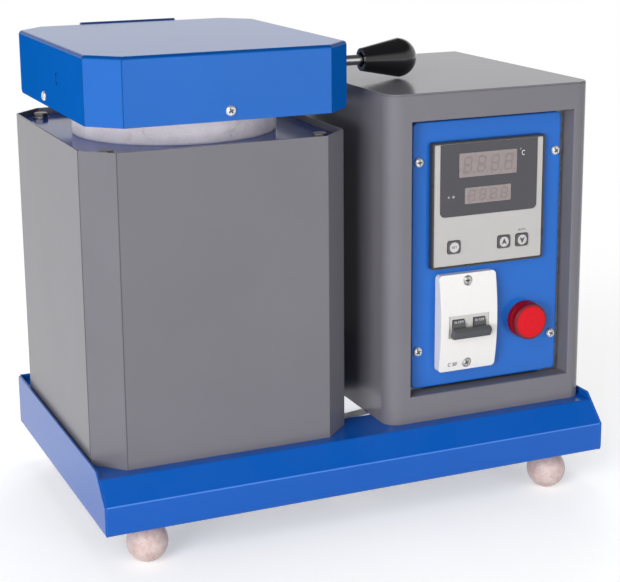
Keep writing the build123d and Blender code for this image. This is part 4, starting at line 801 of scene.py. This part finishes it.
def ribbed_grip():
    """The rubbed bar that joins the breaker's levers: a rounded oblong section with ribs along it.

    Its section is a superellipse, |y / a|^4 + |z / b|^4 = 1, drawn in by a cosine of five waves over the
    front half, carried along X and closed by shrinking to the middle at both ends.
    """
    turns = 96
    angle = full_turn(turns)
    size = (np.abs(np.cos(angle)) ** 4 + np.abs(np.sin(angle)) ** 4) ** -0.25
    front = np.clip(-np.cos(angle) * 1.6, 0, 1)
    size = size * (1 - 0.085 * front * (0.5 + 0.5 * np.cos(np.sin(angle) * 5.0 * pi)))
    end = np.linspace(0, pi / 2, 6)
    inward = grip_end_round * (1 - np.sin(end[::-1]))
    closing = 1 - 0.10 * (1 - np.sin(end)) ** 2 - 0.06 * np.cos(end)
    half = grip_length / 2
    along = np.concatenate([[-half], inward - half, half - inward[::-1], [half]])[:, None]
    shrink = np.concatenate([[0.0], closing, closing[::-1], [0.0]])[:, None]
    y = grip_depth / 2 * size * np.cos(angle) * shrink
    z = grip_height / 2 * size * np.sin(angle) * shrink
    points = np.stack([
        np.broadcast_to(along, y.shape) + grip_centre.x,
        grip_centre.y + y * cos(lever_rest_angle) - z * sin(lever_rest_angle),
        grip_centre.z + y * sin(lever_rest_angle) + z * cos(lever_rest_angle),
    ], axis=-1)
    faces = grid_faces(len(along), turns)
    add_piece("ribbed_grip", points, faces, "toggle_plastic", "toggle_plastic", "breaker_lever")


def stepped_lamp_cap():
    """The pilot lamp's red cap: a crowned face inside a rim, and three steps down its side. The rim and the
    side take darker reds than the face: painted shade on the cap's one red plastic.

    Its profile of radii and heights above the bezel is turned about the lamp's axis: the face falls by the
    square of the radius, the rim is a bevel in two flats, and each step is one ring of the side.
    """
    low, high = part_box("lamp_lens")
    bezel_low, bezel_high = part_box("lamp_bezel")
    rim = (bezel_high.x - bezel_low.x) / 2 - 0.3 * MM
    step = rim - 0.7 * MM
    face = np.linspace(0, rim - 2.0 * MM, 14)
    face_height = high.y - low.y - 0.35 * MM * (face / rim) ** 2
    edge = face_height[-1]
    side = [(rim - a * MM, edge - b * MM) for a, b in ((1.8, 0.3), (0.6, 0.4), (0.1, 0.8))]
    for top in edge - np.array([1.1, 2.7, 4.3]) * MM:
        side += [(rim, top), (rim, top - 0.8 * MM), (step, top - 0.95 * MM), (step, top - 1.45 * MM)]
    side += [(rim, 0.15 * MM), (rim, 0)]
    side_radius, side_height = np.array(side).T
    radius = np.concatenate([face, side_radius, [0]])
    height = np.concatenate([face_height, side_height, [0]])
    turns = 128
    points, faces = closed_revolution(radius, height, turns)
    points = turned(points, (lamp_centre.x, high.y, lamp_centre.z), (0, -1, 0))
    red = "lamp_plastic"
    cap = add_piece("stepped_lamp_cap", points, faces, red, red, "furnace", smooth=False)
    # The rim and the side get darker reds than the face: painted shade on the same red plastic.
    for finish in ("lamp_rim", "lamp_bezel"):
        cap.data.materials.append(finishes[finish])
    row = np.arange(len(faces)) // turns
    on_rim = (row >= len(face) - 2) & (row <= len(face) + 1)
    on_side = (row > len(face) + 1) & (row < len(radius) - 3)
    cap.data.polygons.foreach_set("material_index", on_rim * 1 + on_side * 2)
    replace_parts(cap, "lamp_lens")


def prism(outline, front, thickness):
    """A flat shape facing -Y: its outline in (x, z), counter-clockwise seen from the front, and its back."""
    outline = np.asarray(outline)
    count = len(outline)
    near = np.stack([outline[:, 0], np.full(count, front), outline[:, 1]], axis=-1)
    far = near + np.array([0, thickness, 0])
    index = np.arange(count)
    after = (index + 1) % count
    sides = np.stack([index, index + count, after + count, after], axis=-1).tolist()
    return np.concatenate([near, far]), [index.tolist(), (index[::-1] + count).tolist(), *sides]


def flat_signs(name, outlines, front, finish, slot, body):
    """Several flat shapes in one piece, printed on a face at the given y."""
    shapes = [prism(outline, front - print_thickness, print_thickness) for outline in outlines]
    add_piece(name, *joined(shapes), finish, slot, body, smooth=False)


def disc(x, z, radius, count=40):
    """A circle's outline."""
    angle = full_turn(count)
    return np.stack([x + radius * np.cos(angle), z + radius * np.sin(angle)], axis=-1)


def seven_segments(x, z, width, height, bar, slant):
    """The seven bars of a digit centred at x, z: long hexagons with pointed ends, leaning to the right."""
    gap = 0.12 * bar
    half_width, half_height = (width - bar) / 2, (height - bar) / 2
    point = bar / 2

    def long_hexagon(start, end):
        start, end = np.array(start), np.array(end)
        along = point * (end - start) / np.linalg.norm(end - start)
        aside = np.array([along[1], -along[0]])
        near, far = start + along, end - along
        return [start, near + aside, far + aside, end, far - aside, near - aside]

    bars = [
        long_hexagon((gap - half_width, level), (half_width - gap, level))
        for level in (-half_height, 0.0, half_height)
    ]
    bars += [
        long_hexagon((side, low + gap), (side, low + half_height - gap))
        for side in (-half_width, half_width)
        for low in (-half_height, 0.0)
    ]
    leaning = [np.array(outline) + np.array([x, z]) for outline in bars]
    for outline in leaning:
        outline[:, 0] += slant * (outline[:, 1] - z)
    return leaning


def digit_row(name, display):
    """Four unlit digits with their points, spread evenly over a display."""
    left, right, low, high = display
    pitch = (right - left) / 4.25
    height = 0.70 * (high - low)
    middle = (low + high) / 2
    outlines = []
    for place in range(4):
        x = (left + right) / 2 + (place - 1.5) * pitch
        outlines += seven_segments(x, middle, 0.62 * pitch, height, 0.115 * height, 0.12)
        outlines.append(disc(x + 0.44 * pitch, middle - 0.46 * height, 0.055 * height, 12))
    flat_signs(name, outlines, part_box("display_lenses")[0].y, "digit", "lens_plastic", "furnace")


digit_row("upper_digits", upper_display)
digit_row("lower_digits", lower_display)


def mesh_points(mesh):
    """A mesh's points, as an N x 3 array."""
    points = np.empty(len(mesh.vertices) * 3)
    mesh.vertices.foreach_get("co", points)
    return points.reshape(-1, 3)


def letters(name, words, height, x, z, front, finish, body, width=None):
    """Printed words facing -Y, centred at x, z, height tall over their capitals and squeezed to a width.

    The curve's own x goes to x, its y to z, and its thickness towards -Y, so that the piece stays unturned.
    """
    curve = bpy.data.curves.new(name, "FONT")
    curve.body = words
    curve.extrude = 0.5
    curve.offset = 0.014
    curve.resolution_u = 4
    source = bpy.data.objects.new(name + "_curve", curve)
    mesh = bpy.data.meshes.new_from_object(source)
    bpy.data.objects.remove(source)
    flat = mesh_points(mesh)
    low, high = flat.min(0), flat.max(0)
    scale_z = height / (high[1] - low[1])
    scale_x = scale_z if width is None else width / (high[0] - low[0])
    placed = np.stack([
        x + (flat[:, 0] - (low[0] + high[0]) / 2) * scale_x,
        front - (flat[:, 2] + 0.5) * print_thickness,
        z + (flat[:, 1] - (low[1] + high[1]) / 2) * scale_z,
    ], axis=-1)
    mesh.vertices.foreach_set("co", placed.ravel())
    mesh.materials.clear()
    return add_mesh(name, mesh, finish, body)


for name, words, height, x, z, width, face, ink, slot in (
    ("unit_sign", "C", 3.9, 142.0, 266.9, 2.6, "controller_window", "print_white", "window_plastic"),
    ("degree_sign", "°", 1.6, 139.7, 269.9, None, "controller_window", "print_grey", "window_plastic"),
    ("tune_sign", "AUTO", 1.7, 142.5, 207.6, None, "controller_face", "print_dark", "controller_plastic"),
):
    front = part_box(face)[0].y
    squeezed = None if width is None else width * MM
    letters(name, words, height * MM, x * MM, z * MM, front, ink, "furnace", squeezed)

# Two small state marks beside the lower display: a dot and a diamond.
flat_signs(
    "state_marks",
    [disc(79.0 * MM, 238.0 * MM, 0.8 * MM, 16), disc(83.0 * MM, 238.0 * MM, 1.3 * MM, 4)],
    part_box("controller_window")[0].y, "print_grey", "window_plastic", "furnace",
)


def arrow(x, z, size, up):
    """A notched arrowhead, pointing up or down."""
    way = 1 if up else -1
    outline = [(0, 1.0), (-0.80, -0.75), (0, -0.30), (0.80, -0.75)]
    placed = [(x + size * a, z + way * size * b) for a, b in outline]
    return placed if up else placed[::-1]


for key, body in (("button_set", "set_key"), ("button_up", "up_key"), ("button_down", "down_key")):
    low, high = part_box(key)
    x, front, z = (low.x + high.x) / 2, low.y - print_thickness, (low.z + high.z) / 2
    flat_signs(f"{key}_disc", [disc(x, z, 3.9 * MM)], low.y, "print_pale", "button_plastic", body)
    if key == "button_set":
        letters("set_sign", "SET", 1.7 * MM, x, z, front, "print_dark", body, 4.6 * MM)
    else:
        outline = arrow(x, z, 2.9 * MM, key == "button_up")
        flat_signs(f"{key}_arrow", [outline], front, "print_dark", "button_plastic", body)


def wrapped_on_drum(piece, radius, middle_angle):
    """Bends flat print round the lever's drum: height over its middle becomes an angle about its axis."""
    mesh = piece.data
    flat = mesh_points(mesh)
    middle_z = (flat[:, 2].min() + flat[:, 2].max()) / 2
    raised = radius - (flat[:, 1] - flat[:, 1].max())
    angle = middle_angle + (flat[:, 2] - middle_z) / radius
    flat[:, 1] = lever_axis_y - raised * np.cos(angle)
    flat[:, 2] = lever_axis_z + raised * np.sin(angle)
    mesh.vertices.foreach_set("co", flat.ravel())
    mesh.update()


for number, lever_x in enumerate((86.35 * MM, 104.05 * MM)):
    sign = letters(f"off_sign_{number + 1}", "O OFF", 1.9 * MM, lever_x, lever_axis_z, lever_axis_y,
                   "print_white", "breaker_lever", 8.0 * MM)
    wrapped_on_drum(sign, lever_drum_radius + 0.01 * MM, radians(33))

ribbed_grip()
stepped_lamp_cap()


def laid_on(piece, target, lift):
    """Lays flat print on a curved face by casting it along Y, and keeps the result as the piece's mesh."""
    wrap = piece.modifiers.new("Lay on face", "SHRINKWRAP")
    wrap.wrap_method = "PROJECT"
    wrap.use_project_x, wrap.use_project_y, wrap.use_project_z = False, True, False
    wrap.use_positive_direction = True
    wrap.use_negative_direction = True
    wrap.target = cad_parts[target]
    wrap.offset = lift
    bpy.context.view_layer.update()
    shaped = bpy.data.meshes.new_from_object(piece.evaluated_get(bpy.context.evaluated_depsgraph_get()))
    piece.modifiers.clear()
    piece.data = shaped


before_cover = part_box("breaker_cover")[0].y - 1 * MM
rating = letters("rating_sign", "C 20", 3.0 * MM, 82.4 * MM, 108.9 * MM, before_cover, "print_dark",
                 "furnace", 7.6 * MM)
laid_on(rating, "breaker_cover", print_thickness)

# ---- floor, light and camera

centre = Vector((0, 0, 0.18))


def make_floor():
    """A wide pale floor that keeps the object's shadow and turns white away from it."""
    bpy.ops.mesh.primitive_plane_add(size=60.0)
    floor = bpy.context.object
    floor.name = "floor"
    material = bpy.data.materials.new("Pale floor")
    material.use_nodes = True
    tree = material.node_tree
    tree.nodes.clear()
    place = object_place(tree)
    reach = vector_math(tree, "LENGTH", place, out="Value")
    far = remap(tree, reach, 0.35, 1.3)
    path = node(tree, "LightPath").outputs
    looked_at = math(tree, "ADD", path["Is Camera Ray"], path["Is Glossy Ray"])
    seen = math(tree, "ADD", looked_at, path["Is Transmission Ray"], clamp=True)
    matt = node(tree, "BsdfDiffuse", {"Color": (0.80, 0.80, 0.80)}).outputs[0]
    lit = times(tree, seen, 0.45)
    glow = node(tree, "Emission", {"Color": (1, 1, 1), "Strength": lit})
    near = node(tree, "AddShader", {0: matt, 1: glow.outputs[0]}).outputs[0]
    white = node(tree, "Emission", {"Color": (1, 1, 1), "Strength": 1.0}).outputs[0]
    shown = node(tree, "MixShader", {0: times(tree, far, seen), 1: near, 2: white})
    out = node(tree, "OutputMaterial")
    tree.links.new(shown.outputs[0], out.inputs["Surface"])
    floor.data.materials.append(material)


def make_world(level, horizon, overhead):
    """Even light of the given level, with a white backdrop for what looks straight at it.

    Reflections see the backdrop at the horizon level and, above the object, the studio's dark ceiling.
    """
    world = bpy.data.worlds.new("Studio")
    bpy.context.scene.world = world
    world.use_nodes = True
    tree = world.node_tree
    back = tree.nodes["Background"]
    back.inputs["Color"].default_value = (1, 1, 1, 1)
    path = node(tree, "LightPath").outputs
    looking = node(tree, "TexCoord").outputs["Generated"]
    climb = node(tree, "SeparateXYZ", {0: looking}).outputs[2]
    mirrored = remap(tree, climb, 0.30, 0.65, horizon, overhead)
    by_mirror = times(tree, path["Is Glossy Ray"], math(tree, "SUBTRACT", mirrored, level))
    straight = math(tree, "MAXIMUM", path["Is Camera Ray"], path["Is Transmission Ray"])
    seen = math(tree, "ADD", by_mirror, times(tree, straight, 1.0 - level))
    tree.links.new(math(tree, "ADD", seen, level), back.inputs["Strength"])


def softbox(name, place, size, watts, mirrored=False):
    """A square soft lamp that looks at the object, seen by reflections only where mirrored is True."""
    data = bpy.data.lights.new(name, "AREA")
    data.shape = "SQUARE"
    data.size = size
    data.energy = watts
    lamp = new_object(name, data)
    lamp.location = place
    lamp.rotation_euler = (centre - Vector(place)).to_track_quat("-Z", "Y").to_euler()
    lamp.visible_glossy = mirrored


make_floor()
make_world(0.25, 0.84, 0.08)
softbox("Key", (-2.1, -1.9, 1.9), 1.5, 36.0, mirrored=True)
softbox("Front", (-2.15, -1.85, 0.36), 1.2, 58.0)
softbox("Fill", (1.0, -2.7, 0.38), 1.1, 26.0)
softbox("Top", (0.2, 0.8, 2.4), 1.4, 12.0)
softbox("Back", (1.3, 2.5, 1.3), 1.4, 22.0)

camera_place = Vector((-0.4624, -1.0917, 0.4804))
camera_direction = Vector((0.3852, 0.8941, -0.2286))
camera_roll = radians(-0.5)
camera_lens = 90.7
camera_sensor = 36.0
camera_rise = -0.10


def make_camera():
    """The photograph's camera, fitted to the object's straight edges."""
    data = bpy.data.cameras.new("Photograph")
    data.lens = camera_lens
    data.sensor_width = camera_sensor
    data.shift_y = camera_rise
    camera = new_object("Photograph", data)
    forward = camera_direction.normalized()
    right = forward.cross(Vector((0, 0, 1))).normalized()
    up = right.cross(forward)
    level_right = right * cos(camera_roll) + up * sin(camera_roll)
    level_up = up * cos(camera_roll) - right * sin(camera_roll)
    turn = Matrix((level_right, level_up, -forward)).transposed().to_4x4()
    camera.matrix_world = Matrix.Translation(camera_place) @ turn
    bpy.context.scene.camera = camera


make_camera()
bpy.context.scene.view_settings.view_transform = "Standard"

bpy.context.view_layer.update()
